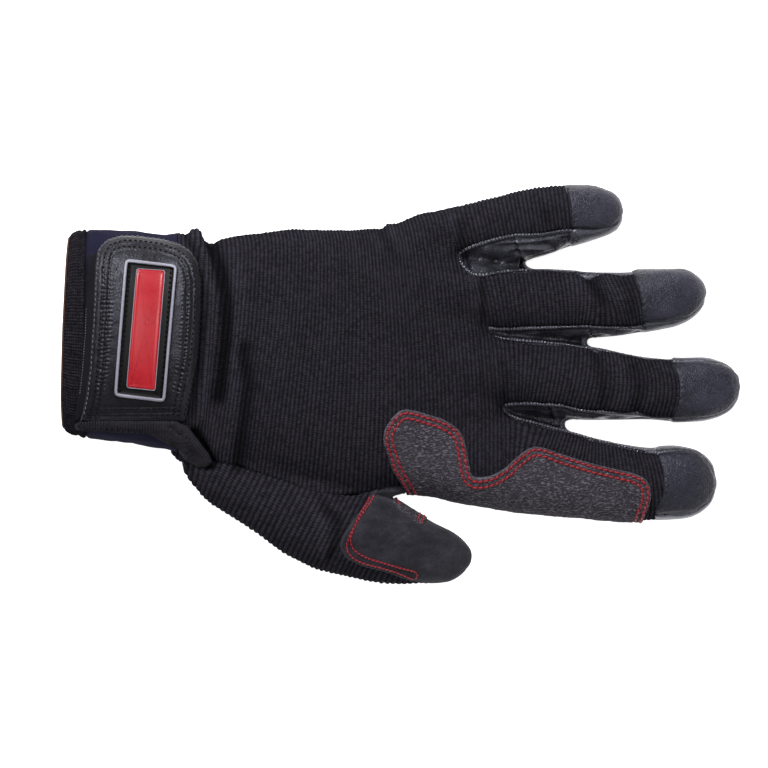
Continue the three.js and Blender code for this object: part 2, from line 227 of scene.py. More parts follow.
@dataclass
class Shell:
    """Points and faces of a closed wall, with the faces of its cut edges marked so that they shade flat."""

    points: Array
    faces: list
    uv: Array | None = None
    flat: Array | bool = False
    # shade: a factor on each point's colour that paints light and shade (shade in folds, furrows and dents,
    # highlights on ridges, gathers and puckers), on some pieces together with their own tone
    shade: Array | float = 1.0

    def turned(self) -> "Shell":
        """The same wall with all faces looking outwards, told by its volume."""
        p = self.points
        volume = 0.0
        for size in (3, 4):
            group = np.array([f for f in self.faces if len(f) == size], int).reshape(-1, size)
            for k in range(1, size - 1):
                a, b, c = p[group[:, 0]], p[group[:, k]], p[group[:, k + 1]]
                volume += np.einsum("ij,ij->", a, np.cross(b, c))
        if volume < 0:
            self.faces = [f[::-1] for f in self.faces]
        return self

    @staticmethod
    def join(shells: list["Shell"]) -> "Shell":
        """Puts several shells into one.

        Args:
            shells: the shells, all with or all without uv.

        Returns:
            One shell that holds them all.
        """
        faces, start = [], 0
        for shell in shells:
            faces += [[int(i) + start for i in face] for face in shell.faces]
            start += len(shell.points)
        uv = None if shells[0].uv is None else np.concatenate([s.uv for s in shells])
        flat = np.concatenate([np.broadcast_to(s.flat, len(s.faces)) for s in shells])
        shade = np.concatenate([np.broadcast_to(s.shade, len(s.points)) for s in shells])
        return Shell(np.concatenate([s.points for s in shells]), faces, uv, flat, shade)


def link_object(name: str, data: bpy.types.ID) -> Piece:
    """Puts an object with some data into the scene."""
    obj = bpy.data.objects.new(name, data)
    bpy.context.scene.collection.objects.link(obj)
    return obj


def make_object(name: str, shell: Shell, material: Material) -> Piece:
    """Makes a smooth-shaded mesh object from a shell in millimetres.

    Args:
        name: the piece's name.
        shell: its points and faces.
        material: its finish.

    Returns:
        The object, linked to the scene.
    """
    mesh = bpy.data.meshes.new(name)
    faces = [list(map(int, f)) for f in shell.faces]
    mesh.from_pydata((np.asarray(shell.points, float) * MM).tolist(), [], faces)
    mesh.polygons.foreach_set("use_smooth", (~np.broadcast_to(shell.flat, len(faces))).tolist())
    if shell.uv is not None:
        layer = mesh.uv_layers.new(name="UVMap")
        corner = np.empty(len(mesh.loops), np.int64)
        mesh.loops.foreach_get("vertex_index", corner)
        layer.data.foreach_set("uv", np.asarray(shell.uv, np.float32)[corner].ravel())
    shade = np.broadcast_to(shell.shade, len(shell.points)).astype(np.float32)
    mesh.attributes.new("shade", "FLOAT", "POINT").data.foreach_set("value", shade)
    mesh.materials.append(material)
    mesh.update()
    return link_object(name, mesh)


def grid_faces(columns: int, rows: int, start: int = 0, closed: bool = False, ring: bool = False,
               flip: bool = False) -> list:
    """The quads of a grid of points stored column by column.

    Args:
        columns: how many columns.
        rows: how many points in each.
        start: the number of the grid's first point.
        closed: whether the last row joins the first.
        ring: whether the last column joins the first.
        flip: whether the faces are turned over.

    Returns:
        The quads.
    """
    i, j = np.meshgrid(np.arange(columns - (not ring)), np.arange(rows - (not closed)), indexing="ij")
    n, k = (i + 1) % columns * rows, (j + 1) % rows
    quads = np.stack([i * rows + j, n + j, n + k, i * rows + k], -1).reshape(-1, 4) + start
    return (quads[:, ::-1] if flip else quads).tolist()


def grid_normals(grid: Array) -> Array:
    """Unit normals of a grid of points, columns by rows by 3, by the slopes along both ways."""
    return unit(np.cross(np.gradient(grid, axis=0), np.gradient(grid, axis=1)))


def grid_shell(outer: Array, normals: Array, thick: float, uv: Array, shade: Array) -> Shell:
    """A closed wall from a grid of outer points, its inside a distance behind them.

    Args:
        outer: the outer points, columns by rows by 3.
        normals: their outward directions.
        thick: the wall's thickness.
        uv: a pair for each outer point.
        shade: a factor on each outer point's colour: painted shade in the folds, painted light on the ridges.

    Returns:
        The wall.
    """
    columns, rows = outer.shape[:2]
    inner = outer - normals * thick
    count = columns * rows
    faces = grid_faces(columns, rows) + grid_faces(columns, rows, count, flip=True)
    sides = len(faces)
    number = np.arange(count).reshape(columns, rows)
    rim = [*number[:, 0], *number[-1, 1:], *number[-2::-1, -1], *number[0, -2:0:-1]]
    faces += [[b, a, a + count, b + count] for a, b in zip(rim, rim[1:] + rim[:1])]
    flat = np.arange(len(faces)) >= sides
    points = np.concatenate([outer.reshape(-1, 3), inner.reshape(-1, 3)])
    pairs = np.concatenate([uv.reshape(-1, 2)] * 2)
    return Shell(points, faces, pairs, flat, np.concatenate([shade.ravel()] * 2)).turned()


def capped(rings: Array, hubs: Array, shade: Array) -> Shell:
    """A closed body of rings with a hub at each end.

    Args:
        rings: the points, rings by points round each by 3.
        hubs: the two hubs.
        shade: a factor on the colour at each point of the rings: painted highlight and shade on gathers and relief.

    Returns:
        The body.
    """
    count, around = rings.shape[:2]
    total = count * around
    faces = grid_faces(count, around, closed=True)
    faces += [[j, (j + 1) % around, total] for j in range(around)]
    last = total - around
    faces += [[last + (j + 1) % around, last + j, total + 1] for j in range(around)]
    shades = np.append(shade, [1.0, 1.0])
    return Shell(np.vstack([rings.reshape(-1, 3), hubs]), faces, shade=shades).turned()


def face_edges(faces: Array) -> Array:
    """The edges of all faces, first every face's first edge."""
    return np.concatenate([np.stack(pair, 1) for pair in zip(faces.T, np.roll(faces, -1, 1).T)])


def unique_edges(ends: Array, total: int) -> tuple[Array, Array, Array]:
    """The different edges among some: their lower ends, higher ends and, for each given edge, its place."""
    keys, back = np.unique(ends.min(1) * total + ends.max(1), return_inverse=True)
    return keys // total, keys % total, back


def pull(points: Array, pairs: Array, share: float, rounds: int) -> Array:
    """Evens points out by moving them towards the middle of their neighbours.

    Args:
        points: the points.
        pairs: each point beside one of its neighbours, in rows.
        share: how far a point moves.
        rounds: how often.

    Returns:
        The moved points.
    """
    points = points.copy()
    count = np.maximum(np.bincount(pairs[:, 0], minlength=len(points)), 1)[:, None]
    for _ in range(rounds):
        total = np.stack([np.bincount(pairs[:, 0], points[pairs[:, 1], k], len(points)) for k in range(3)], 1)
        points += share * (total / count - points)
    return points


@dataclass
class Skin:
    """An open sheet of triangles on the form, with a normal at each point."""

    points: Array
    normals: Array
    faces: Array

    def clip(self, level: Array) -> "Skin":
        """Keeps the part where a level is below zero, cut cleanly along its zero line.

        Args:
            level: one number for each point.

        Returns:
            The part that is left.
        """
        level = np.where(np.abs(level) < 1e-3, 1e-3, level)
        inside = level < 0
        count = inside[self.faces].sum(1)
        odd = []
        for wanted, state in ((1, True), (2, False)):
            group = self.faces[count == wanted]
            first = np.argmax(inside[group] == state, axis=1)
            odd.append(np.stack([group[np.arange(len(group)), (first + k) % 3] for k in range(3)], 1))
        tips, stumps = odd
        ends = np.concatenate([group[:, pair] for group in odd for pair in ([0, 1], [0, 2])])
        a, b, back = unique_edges(ends, len(self.points) + 1)
        t = (level[a] / (level[a] - level[b]))[:, None]
        points = np.concatenate([self.points, self.points[a] * (1 - t) + self.points[b] * t])
        normals = unit(np.concatenate([self.normals, self.normals[a] * (1 - t) + self.normals[b] * t]))
        ab, ac, de, df = np.split(back + len(self.points), np.cumsum([len(tips), len(tips), len(stumps)]))
        faces = [self.faces[count == 3]]
        faces += [np.stack(corners, 1) for corners in ((tips[:, 0], ab, ac), (de, stumps[:, 1], stumps[:, 2]),
                                                       (de, stumps[:, 2], df))]
        return Skin.numbered(points, normals, np.concatenate(faces))

    @staticmethod
    def numbered(points: Array, normals: Array, faces: Array) -> "Skin":
        """A sheet of some faces that holds no other points than theirs."""
        used, places = np.unique(faces, return_inverse=True)
        return Skin(points[used], normals[used], places.reshape(-1, 3))

    def largest(self) -> "Skin":
        """Keeps the largest connected part, which drops stray scraps."""
        label = np.arange(len(self.points))
        for _ in range(400):
            low = label[self.faces].min(1)
            fresh = label.copy()
            np.minimum.at(fresh, self.faces.ravel(), np.repeat(low, 3))
            fresh = fresh[fresh]
            if (fresh == label).all():
                break
            label = fresh
        names, sizes = np.unique(label[self.faces[:, 0]], return_counts=True)
        faces = self.faces[label[self.faces[:, 0]] == names[np.argmax(sizes)]]
        return Skin.numbered(self.points, self.normals, faces)

    def refine(self) -> "Skin":
        """Splits each triangle into four."""
        a, b, back = unique_edges(face_edges(self.faces), len(self.points) + 1)
        points = np.concatenate([self.points, (self.points[a] + self.points[b]) / 2])
        normals = unit(np.concatenate([self.normals, self.normals[a] + self.normals[b]]))
        ab, bc, ca = (back + len(self.points)).reshape(3, -1)
        first, second, third = self.faces.T
        corners = ((first, ab, ca), (second, bc, ab), (third, ca, bc), (ab, bc, ca))
        return Skin(points, normals, np.concatenate([np.stack(c, 1) for c in corners]))

    def border(self) -> Array:
        """The edges that only one triangle uses, in that triangle's direction."""
        edges = face_edges(self.faces)
        keys = edges.min(1) * (len(self.points) + 1) + edges.max(1)
        _, index, counts = np.unique(keys, return_index=True, return_counts=True)
        return edges[index[counts == 1]]

    def relax(self, rounds: int) -> "Skin":
        """Evens out the inner points and slides the border along itself, some rounds."""
        edges, rim = face_edges(self.faces), self.border()
        on_rim = np.zeros(len(self.points), bool)
        on_rim[rim.ravel()] = True
        both = np.concatenate([edges, edges[:, ::-1]])
        pairs = np.concatenate([both[~on_rim[both[:, 0]]], rim, rim[:, ::-1]])
        return Skin(pull(self.points, pairs, 0.5, rounds), self.normals, self.faces)

    def rim_distance(self) -> Array:
        """The distance of each point to the sheet's border, in space."""
        start, end = self.points[self.border().T]
        return nearest(np.concatenate([start, (start + end) / 2]), self.points)[1]

    def wall(self, lift: Array, thick: float, floor: float = -math.inf, shade: Array | float = 1.0) -> Shell:
        """A closed wall whose outside is lifted off the sheet.

        Args:
            lift: how far the outside stands off the sheet at each point.
            thick: the wall's thickness.
            floor: the height that nothing goes below.
            shade: a factor on each point's colour: painted light and shade, and on some pieces their own tone.

        Returns:
            The wall.
        """
        outer = self.points + self.normals * lift[:, None]
        inner = self.points + self.normals * (lift[:, None] - thick)
        outer[:, 2] = np.maximum(outer[:, 2], floor)
        inner[:, 2] = np.maximum(inner[:, 2], floor + 0.6 * thick)
        count = len(self.points)
        a, b = self.border().T
        sides = [np.stack(corners, 1) for corners in ((b, a, a + count), (b, a + count, b + count))]
        faces = np.concatenate([self.faces, self.faces[:, ::-1] + count, *sides])
        flat = np.arange(len(faces)) >= 2 * len(self.faces)
        shades = np.tile(np.broadcast_to(shade, count), 2)
        return Shell(np.concatenate([outer, inner]), faces.tolist(), None, flat, shades).turned()


# ---- the form under the panels


@dataclass(frozen=True)
class Sections:
    """A body as sections across X: edges low and high in Y, underside, widest height, top and slant."""

    rows: tuple[tuple[float, ...], ...]
    squareness: float = 2.35
    sag: float = 1.16

    def table(self) -> Array:
        """The rows as an array of seven columns, the slant filled in."""
        return np.array([list(row) + [0.0] * (7 - len(row)) for row in self.rows])

    def at(self, x: Array | float) -> Array:
        """The sections at some places along X, straight between the rows."""
        rows = self.table()
        return take(rows, rows[:, 0], x)

    def smooth(self, step: float) -> Array:
        """Sections on a smooth curve through the rows.

        Args:
            step: the distance wanted between them.

        Returns:
            The sections, seven columns each.
        """
        rows = self.table()
        padded = np.vstack([rows[:1], rows, rows[-1:]])
        out = []
        for i in range(len(rows) - 1):
            a, b, c, d = padded[i], padded[i + 1], padded[i + 2], padded[i + 3]
            pieces = max(2, int(round((c[0] - b[0]) / step)))
            for t in np.arange(pieces) / pieces:
                out.append(b + 0.5 * t * (c - a + t * (2 * a - 5 * b + 4 * c - d + t * (3 * (b - c) + d - a))))
        out.append(rows[-1])
        out = np.array(out)
        out[:, 3] = np.maximum(out[:, 3], 0.0)
        return out

    def ring(self, section: Array, grow: float, turns: Array) -> Array:
        """The points of one section.

        Args:
            section: its seven numbers.
            grow: how far it is moved outwards.
            turns: the angles of the points.

        Returns:
            One point for each angle.
        """
        x, low, high, floor, wide, top, lean = section
        middle, half = (low + high) / 2, (high - low) / 2 + grow
        power = 2.0 / self.squareness
        y = middle + half * np.sign(np.cos(turns)) * np.abs(np.cos(turns)) ** power
        rise = np.sign(np.sin(turns)) * np.abs(np.sin(turns)) ** power
        floor = floor - grow
        z = np.where(rise > 0, wide + rise * (top - wide + grow), wide + rise * (wide - floor) * self.sag)
        return np.stack([x - lean * (y - middle), y, np.maximum(z, floor)], -1)

    def loft(self, step: float = 1.6, around: int = 72) -> Shell:
        """A closed solid through smooth sections."""
        sections = self.smooth(step)
        turns = np.arange(around) * 2 * math.pi / around
        rings = np.stack([self.ring(s, 0.0, turns) for s in sections])
        faces = grid_faces(len(sections), around, closed=True)
        hubs = [rings[0].mean(0), rings[-1].mean(0)]
        count = len(sections) * around
        for j in range(around):
            k = (j + 1) % around
            faces.append([j, k, count])
            faces.append([count - around + k, count - around + j, count + 1])
        return Shell(np.vstack([rings.reshape(-1, 3), hubs]), faces)


HAND = Sections((
    (-122.3, -15.8, 53, 1.1, 13, 31), (-112.2, -19.7, 55.4, 1.1, 13, 33), (-97.8, -21.1, 54.7, 0.5, 13, 34),
    (-85.1, -23.3, 53.2, 0, 12, 33), (-78.3, -26.2, 55, 0, 12, 33), (-74, -28.3, 55, 0, 12, 32),
    (-70, -29.8, 51.8, 0, 12, 29.5), (-67.2, -30.6, 51.8, 0, 12, 30), (-64.2, -31.2, 52.5, 0, 12, 30.5),
    (-60.8, -32.2, 53.2, 0, 12, 30.8), (-57, -33.2, 53.7, 0, 12, 31), (-50, -34.9, 54.4, 0, 12, 31),
    (-40, -37, 55.4, 0, 12, 31.5), (-23.8, -39.5, 55.4, 0, 12, 31), (-9.4, -40.6, 56.1, 0, 11.5, 30),
    (1.4, -39.1, 58.3, 0, 11, 29, 0.04), (12.3, -40.6, 61.2, 0, 10.5, 27, 0.12),
    (19.5, -41, 61.9, 0, 10, 24.5, 0.18), (23.5, -37.7, 56.8, 2, 9.5, 19, 0.2),
    (24.9, -31.2, 50, 5, 9.5, 13, 0.2)))
LITTLE = Sections((
    (-3, 49, 56.5, 1, 9, 17), (7, 47.6, 60.4, 0, 9, 20.5), (15.9, 46, 62.8, 0, 9, 22.5),
    (23, 45.6, 64.4, 0, 9, 22.5), (32.1, 44.9, 66.6, 0, 9, 22), (42.9, 43.8, 69.5, 0, 9, 20.5),
    (52, 46, 70.9, 0, 8.5, 19.5), (61, 49.2, 71.6, 0, 8.5, 18), (67.5, 51.1, 71.6, 0, 8, 16.5),
    (72.5, 52.9, 70.5, 0.6, 8, 15), (76.5, 54.3, 69.1, 1.8, 8, 13), (79, 56.5, 66.6, 3.6, 7.6, 11),
    (80.3, 59.7, 63, 6, 7.5, 9)))
RING = Sections((
    (6.9, 19.3, 46, 0, 9, 26), (19.5, 18.6, 45.3, 0, 9, 25.5), (32.1, 17, 43.8, 0, 9, 24),
    (42.9, 17.1, 42, 0, 9, 22.5), (57.4, 16.8, 41.3, 0, 9, 21), (71.8, 16.4, 40.6, 0, 8.5, 20),
    (84.4, 17.9, 40.6, 0, 8.5, 19), (95.3, 20, 41.3, 0, 8.2, 17.5), (101.7, 21.8, 41, 0.4, 8, 16),
    (106.1, 24.4, 39.1, 1.6, 8, 14), (109, 27.2, 36.6, 3.6, 7.6, 11), (110.2, 30.1, 33.7, 6, 7.5, 9)))
MIDDLE = Sections((
    (6.9, -7.4, 20.7, 0, 9, 27), (21.3, -8.5, 20, 0, 9, 26.5), (35.7, -9.6, 17.2, 0, 9, 25),
    (46.5, -10.6, 16.1, 0, 9, 23.5), (61, -13.2, 14.6, 0, 9, 22), (73.6, -13.5, 12.8, 0, 8.5, 20.5),
    (86.2, -13.2, 9.9, 0, 8.5, 19.5), (100.7, -13.9, 9.2, 0, 8.5, 18.5), (109.7, -13.5, 9.6, 0, 8.2, 17),
    (115.1, -12.1, 8.5, 0.4, 8, 15.5), (119.1, -9.9, 6.3, 1.6, 8, 13.5), (121.6, -6, 3.1, 3.6, 7.6, 11),
    (122.9, -2.7, -0.2, 6, 7.5, 9)))
INDEX = Sections((
    (-3, -34, -9, 1, 9, 20), (7, -37.6, -8.2, 0, 9, 23.5), (17.7, -41.3, -8.5, 0, 9, 25.2),
    (28.5, -43.1, -7.8, 0, 9, 25), (39.3, -44.9, -10.8, 0, 9, 24), (52, -46.4, -14.4, 0, 9, 22.5),
    (64.6, -47.4, -17.9, 0, 9, 21), (75.4, -48.5, -20.7, 0, 8.5, 20), (88, -49.2, -22.6, 0, 8.5, 19),
    (99.9, -48.9, -22.6, 0, 8.2, 17.5), (105.7, -47.8, -23.6, 0.4, 8, 16), (110, -45.3, -25.8, 1.6, 8, 13.5),
    (112.8, -42, -29, 3.6, 7.6, 11), (114, -37.7, -34.1, 6, 7.5, 9)))
THUMB = Sections((
    (-79, -31.2, -19.7, 0, 11, 18), (-70.7, -41.7, -20.4, 0, 11, 20), (-63.5, -46.7, -22.6, 0, 11, 22),
    (-52.7, -53.6, -26.2, 0, 11, 24), (-41.9, -61.2, -29.8, 0, 11, 25), (-31, -66.6, -33.4, 0, 11, 25.5),
    (-20.2, -69.5, -37, 0, 10.5, 25), (-9.4, -71.8, -39.5, 0, 10, 24), (-2.2, -72.2, -42.8, 0, 10, 22.5),
    (5.1, -72.2, -47.4, 0, 9.5, 20.5), (12.3, -71.3, -51.4, 0.2, 9, 18.5), (17.7, -70.2, -53.9, 1, 8.8, 16.5),
    (21.3, -68, -56.5, 2.4, 8.4, 14), (23.8, -65.1, -59.4, 4.4, 8, 11), (24.7, -63.3, -61.2, 6.4, 8, 9.4)))


@dataclass
class Form:
    """The glove's smooth outside, which the panels are laid on."""

    voxel: float = 0.9
    rounds: int = 12
    share: float = 0.6
    skin: Skin = field(init=False)
    tree: BVHTree = field(init=False)

    def build(self) -> "Form":
        """Joins the six bodies, remeshes them into one skin and smooths it.

        Returns:
            The form itself.
        """
        joined = Shell.join([body.loft() for body in (HAND, THUMB, LITTLE, RING, MIDDLE, INDEX, *WEBS)])
        mesh = bpy.data.meshes.new("form")
        mesh.from_pydata((joined.points * MM).tolist(), [], joined.faces)
        obj = link_object("form", mesh)
        remesh = obj.modifiers.new("one_skin", "REMESH")
        remesh.mode, remesh.voxel_size = "VOXEL", self.voxel * MM
        done = obj.evaluated_get(bpy.context.evaluated_depsgraph_get()).to_mesh()
        points = np.empty(len(done.vertices) * 3)
        done.vertices.foreach_get("co", points)
        points = points.reshape(-1, 3) / MM
        quads = np.array([list(p.vertices)[:4] for p in done.polygons if len(p.vertices) == 4])
        bpy.data.objects.remove(obj)
        bpy.data.meshes.remove(mesh)
        faces = np.concatenate([quads[:, [0, 1, 2]], quads[:, [0, 2, 3]]])
        pairs = np.unique(np.sort(face_edges(quads), 1), axis=0)
        points = pull(points, np.concatenate([pairs, pairs[:, ::-1]]), self.share, self.rounds)
        points[:, 2] = np.maximum(points[:, 2], 0.0)
        a, b, c = (points[faces[:, k]] for k in range(3))
        cross = np.cross(b - a, c - a)
        normals = np.stack([sum(np.bincount(faces[:, k], cross[:, m], len(points)) for k in range(3))
                            for m in range(3)], 1)
        self.skin = Skin(points, unit(normals), faces)
        self.tree = BVHTree.FromPolygons(points.tolist(), faces.tolist())
        return self

    def cast(self, origins: Array, directions: Array) -> Array:
        """Where rays from inside first meet the form; a miss takes the place of the ray before it.

        Args:
            origins: where each ray starts.
            directions: where it goes.

        Returns:
            The points met.
        """
        last, out = origins[0] + directions[0], []
        for start, way in zip(origins, directions):
            hit = self.tree.ray_cast(start, way)[0]
            last = last if hit is None else hit
            out.append(last)
        return np.array(out)

    def drop(self, plan: Array) -> Array:
        """The form's upper surface under points in plan; beside the form, the nearest point of its flank."""
        out = []
        for x, y in plan:
            hit = self.tree.ray_cast((x, y, 80.0), (0.0, 0.0, -1.0))[0]
            out.append(self.tree.find_nearest((x, y, 10.0))[0] if hit is None else hit)
        return np.array(out)

    def normal_at(self, points: Array) -> Array:
        """The smooth normal of the form nearest to each point."""
        faces = [self.tree.find_nearest(point)[2] for point in points]
        return unit(self.skin.normals[self.skin.faces[faces]].mean(1))

    def footing(self, plan: Array) -> tuple[Array, Array]:
        """The points of the form under a path in plan and their directions, evened out along it."""
        base = self.drop(plan)
        return base, unit(blur(self.normal_at(base), 2.0, 0))

    def inside(self, outline: Array, floor: float, grow: float = 0.0) -> Array:
        """Below zero where the form lies within an outline, widened by grow, and above a height."""
        points = self.skin.points
        return np.maximum(outline_depth(points, outline) - grow, floor - points[:, 2])

    def cut(self, level: Array) -> Skin:
        """The part of the form where a level is below zero, as a fine even sheet."""
        return self.skin.clip(level).largest().refine().relax(3)


# ---- seams in plan, shared by the pieces

THUMB_SEAM: Path = [
    (-84, -28.3), (-62.8, -29), (-43.3, -35.2), (-29.2, -39.9), (-17, -41), (-9, -39.1), (-1.1, -39.9),
    (4, -44.3)]
THUMB_CAP_SEAM: Path = [
    (-10.4, -38.6), (-12.6, -43.4), (-17.2, -49.0), (-21.3, -55.4), (-22.2, -59.2), (-20.2, -62.9),
    (-14.6, -65.6), (-5, -67.9), (4, -70.9), (12, -72.5), (22, -74)]
WEAR_PATCH: Path = [
    (1.9, -38.9), (-3.2, -31.2), (-6.5, -20.9), (-6.1, -16.5), (-3.4, -12.3), (-0.6, -9.7), (2.2, -9.2),
    (5.8, -9.9), (10.5, -11.4), (14.6, -12.6), (18.6, -14.8), (21, -17), (22.8, -20), (23.9, -25),
    (24.7, -29.6), (25.2, -32.4), (26.2, -33.6), (28.6, -33.8), (32.1, -33.2), (35, -31.9), (37.7, -30.2),
    (40.8, -27.2), (43.7, -24.9), (46.2, -23.2), (49, -22.8), (53, -23.7), (57.4, -25.4), (68.2, -28.7),
    (79, -31.3), (84, -32.4), (87.6, -34), (89.8, -36.8), (90.3, -40.4), (89.5, -44.2), (87.6, -48.4),
    (85.9, -56), (1.9, -56)]
CROTCH_PATCH: Path = [
    (-3.9, -43.0), (-1.2, -46.1), (4.3, -50.4), (7.2, -52.1), (8.8, -50.4), (11.0, -44), (0, -38)]
STRAP: Path = [
    (-77.4, -13.6), (-75.0, -3.1), (-72.8, 9), (-71.8, 25.1), (-71.6, 37.1), (-73.0, 43.6), (-75.6, 47.6),
    (-79.8, 50.2), (-86.2, 52.0), (-94, 53.0), (-100.7, 53.2), (-106.0, 51.6), (-109.2, 48.2), (-110.2, 42),
    (-110.5, 34), (-111.1, 22), (-112.3, 4.9), (-113.4, -4), (-114.8, -11.1), (-115.8, -13.8)]
STRAP_UNDER: Path = [
    (-108, 46.8), (-112.2, 46.6), (-113.0, 43), (-113.3, 30), (-114.0, 18), (-115.3, 4), (-116.6, -6),
    (-117.4, -13), (-112, -13.2), (-109, 10)]
STRAP_BAND: Path = [
    (-117.8, -14.6), (-117.6, -16.6), (-113, -17.3), (-92, -17.6), (-84.6, -18.4), (-81.6, -21.0),
    (-80.0, -24.6), (-77.4, -28.0), (-73.4, -30.0), (-69.8, -30.0), (-67.8, -28.4), (-69.0, -25.6),
    (-72.6, -20.8), (-76.6, -15.4), (-81.4, -13.0), (-113, -12.8)]
BADGE: Path = [(-84.6, -6.9), (-80.2, 42.8), (-99.4, 45.0), (-103.3, -4.7)]
BADGE_FIELD: Path = [(-88.4, -2.5), (-84.9, 40.6), (-94.9, 41.2), (-98.5, -1.4)]


@dataclass(frozen=True)
class Finger:
    """One finger: its body, the edges of its knit back and the outline of its leather cap, all in plan."""

    name: str
    body: Sections
    lower: Path
    upper: Path
    seam: Path
    tip: Path
    lean: Path
    bow: float
    outer: bool = False
    inner: bool = False

    def beside(self, points: Array) -> Array:
        """Which points lie within the finger's width, or just beside it."""
        low, high = self.body.at(points[:, 0])[:, 1:3].T
        return (points[:, 1] > low - 3) & (points[:, 1] < high + 3)


CROTCHES: list[Path] = [[(12, 46.5), (20.4, 46.5)], [(12, 20.6), (31, 20.6)], [(12, -8.3), (36.2, -8.3)]]
FINGERS = (
    Finger("little", LITTLE, CROTCHES[0] + [(21, 47.4), (24.5, 49.2), (29.7, 50.9), (34, 52.2),
        (38.3, 53.2), (41.8, 53.8), (46.1, 53.8), (51.3, 54.1), (55.6, 55), (60.8, 55.7), (66, 55.8)],
        [(12, 61.8), (66, 71.6)], [(58.4, 76), (58.7, 71.2), (60.5, 64), (61.6, 55.9)], [(69.5, 55.6),
        (76.1, 56.7), (79.3, 59.4), (80.6, 62.4), (84, 65), (84, 76)], [(18, 15), (35, 11), (60, 7)], 0.0,
        outer=True),
    Finger("ring", RING, CROTCHES[1] + [(32.4, 20), (37.3, 19.9), (49.8, 20.3), (66.4, 20.9),
        (71.4, 20.5), (83, 20.3), (90, 21.4)], CROTCHES[0] + [(21.2, 43.6), (22.7, 41.8), (24.5, 39.7),
        (27.1, 38.6), (30.5, 38.8), (34, 39.7), (39.2, 40.3), (44.4, 40.6), (53, 40.6), (61.7, 40.2),
        (66.9, 39.4), (90, 39.8)], [(82.2, 46), (83, 40.6), (84.4, 38), (86.5, 30.6), (86.9, 21.6)],
        [(96, 22.3), (104.3, 24.3), (108.5, 28.1), (110.1, 31.6), (114, 34), (114, 46)], [(30, 8), (60, 6),
        (68, -4), (76, 22), (86, 13)], 1.2),
    Finger("middle", MIDDLE, CROTCHES[2] + [(37.5, -7.4), (39, -7.1), (45.6, -6.9), (58.1, -7.7),
        (63.9, -9.3), (74.7, -10.2), (86.3, -11), (91.3, -12.1), (103, -12.8)], CROTCHES[1] + [(32, 18.2),
        (34, 16.4), (37.3, 15.8), (45.6, 15), (58.1, 14), (68, 12.4), (74.7, 11.2), (87.1, 8.9),
        (103, 8.2)], [(97.2, 7.9), (98.9, 5), (100.1, 1.6), (100.3, -1.5), (99.6, -5.5), (97.1, -12.7)],
        [(110, -12.2), (115.5, -10.9), (118.6, -9), (121.4, -5.4), (122.6, -1.6), (121.9, 2.6),
        (119.2, 5.7), (115.2, 7.4), (108, 8.1)], [(36, 6), (48, -8), (66, -10), (76, -3), (97, 1)], 2.6),
    Finger("index", INDEX, [(12, -40.6), (95, -49.4)], CROTCHES[2] + [(37.2, -10.4), (39.3, -11.8),
        (41.5, -12.8), (49, -14.7), (60.3, -17.8), (69.6, -20.5), (80.9, -23), (88.4, -24.6), (97, -25.4)],
        [(92.1, -25.3), (93.7, -29), (94.5, -33.3), (94.6, -39.9), (91.4, -47.2)], [(105.3, -46.6),
        (111.2, -42.6), (113.5, -37.4), (113.4, -34), (111.4, -29.2), (107.2, -24.8), (101.5, -24.4)],
        [(35, 4), (40, -10), (48, -24), (60, -20), (72, -6), (92, -1)], 2.4, inner=True),
)
# The web between two fingers: cloth on top up to the crotch, then leather low in the gap, so that no light
# comes through.
WEBS = (
    Sections(((6, 41, 51, 0, 9, 22.5), (16, 41, 51, 0, 9, 21.8), (19.5, 41.5, 50.5, 0, 9, 19),
        (22.5, 42, 50, 0, 8, 13), (30, 40.5, 48, 0, 6, 10), (37, 40, 47, 0, 5, 8.5),
        (41.5, 40, 46, 0.4, 4, 6.5))),
    Sections(((16, 13, 25, 0, 9, 25.5), (26, 14, 24, 0, 9, 24), (30, 15, 23, 0, 9, 20),
        (33, 15, 22, 0, 8, 13), (45, 12.5, 20, 0, 6, 9.5), (58, 11.5, 19.5, 0, 5, 7.5),
        (66, 11.5, 18.5, 0.4, 4, 6))),
    Sections(((16, -16, -1, 0, 9, 25.5), (28, -15, -3, 0, 9, 24.5), (34.5, -14.5, -4, 0, 9, 20.5),
        (38, -14, -6, 0, 8, 13.5), (45, -16, -9, 0, 6, 9.5), (52, -18.5, -11, 0, 5, 7.5),
        (58.5, -19.5, -11.5, 0.4, 4, 6))),
)

PALM_EDGE = 6.0
CUFF_END = -80.5


@dataclass(frozen=True)
class Crease:
    """A fold or a ridge along a path in plan: how far it lifts the cloth and how far its slopes reach."""

    path: tuple[tuple[float, float], ...]
    lift: float
    reach: float

    def at(self, points: Array) -> Array:
        """The lift at some points."""
        return self.lift * np.exp(-(path_distance(points, np.array(self.path)) / self.reach) ** 2)


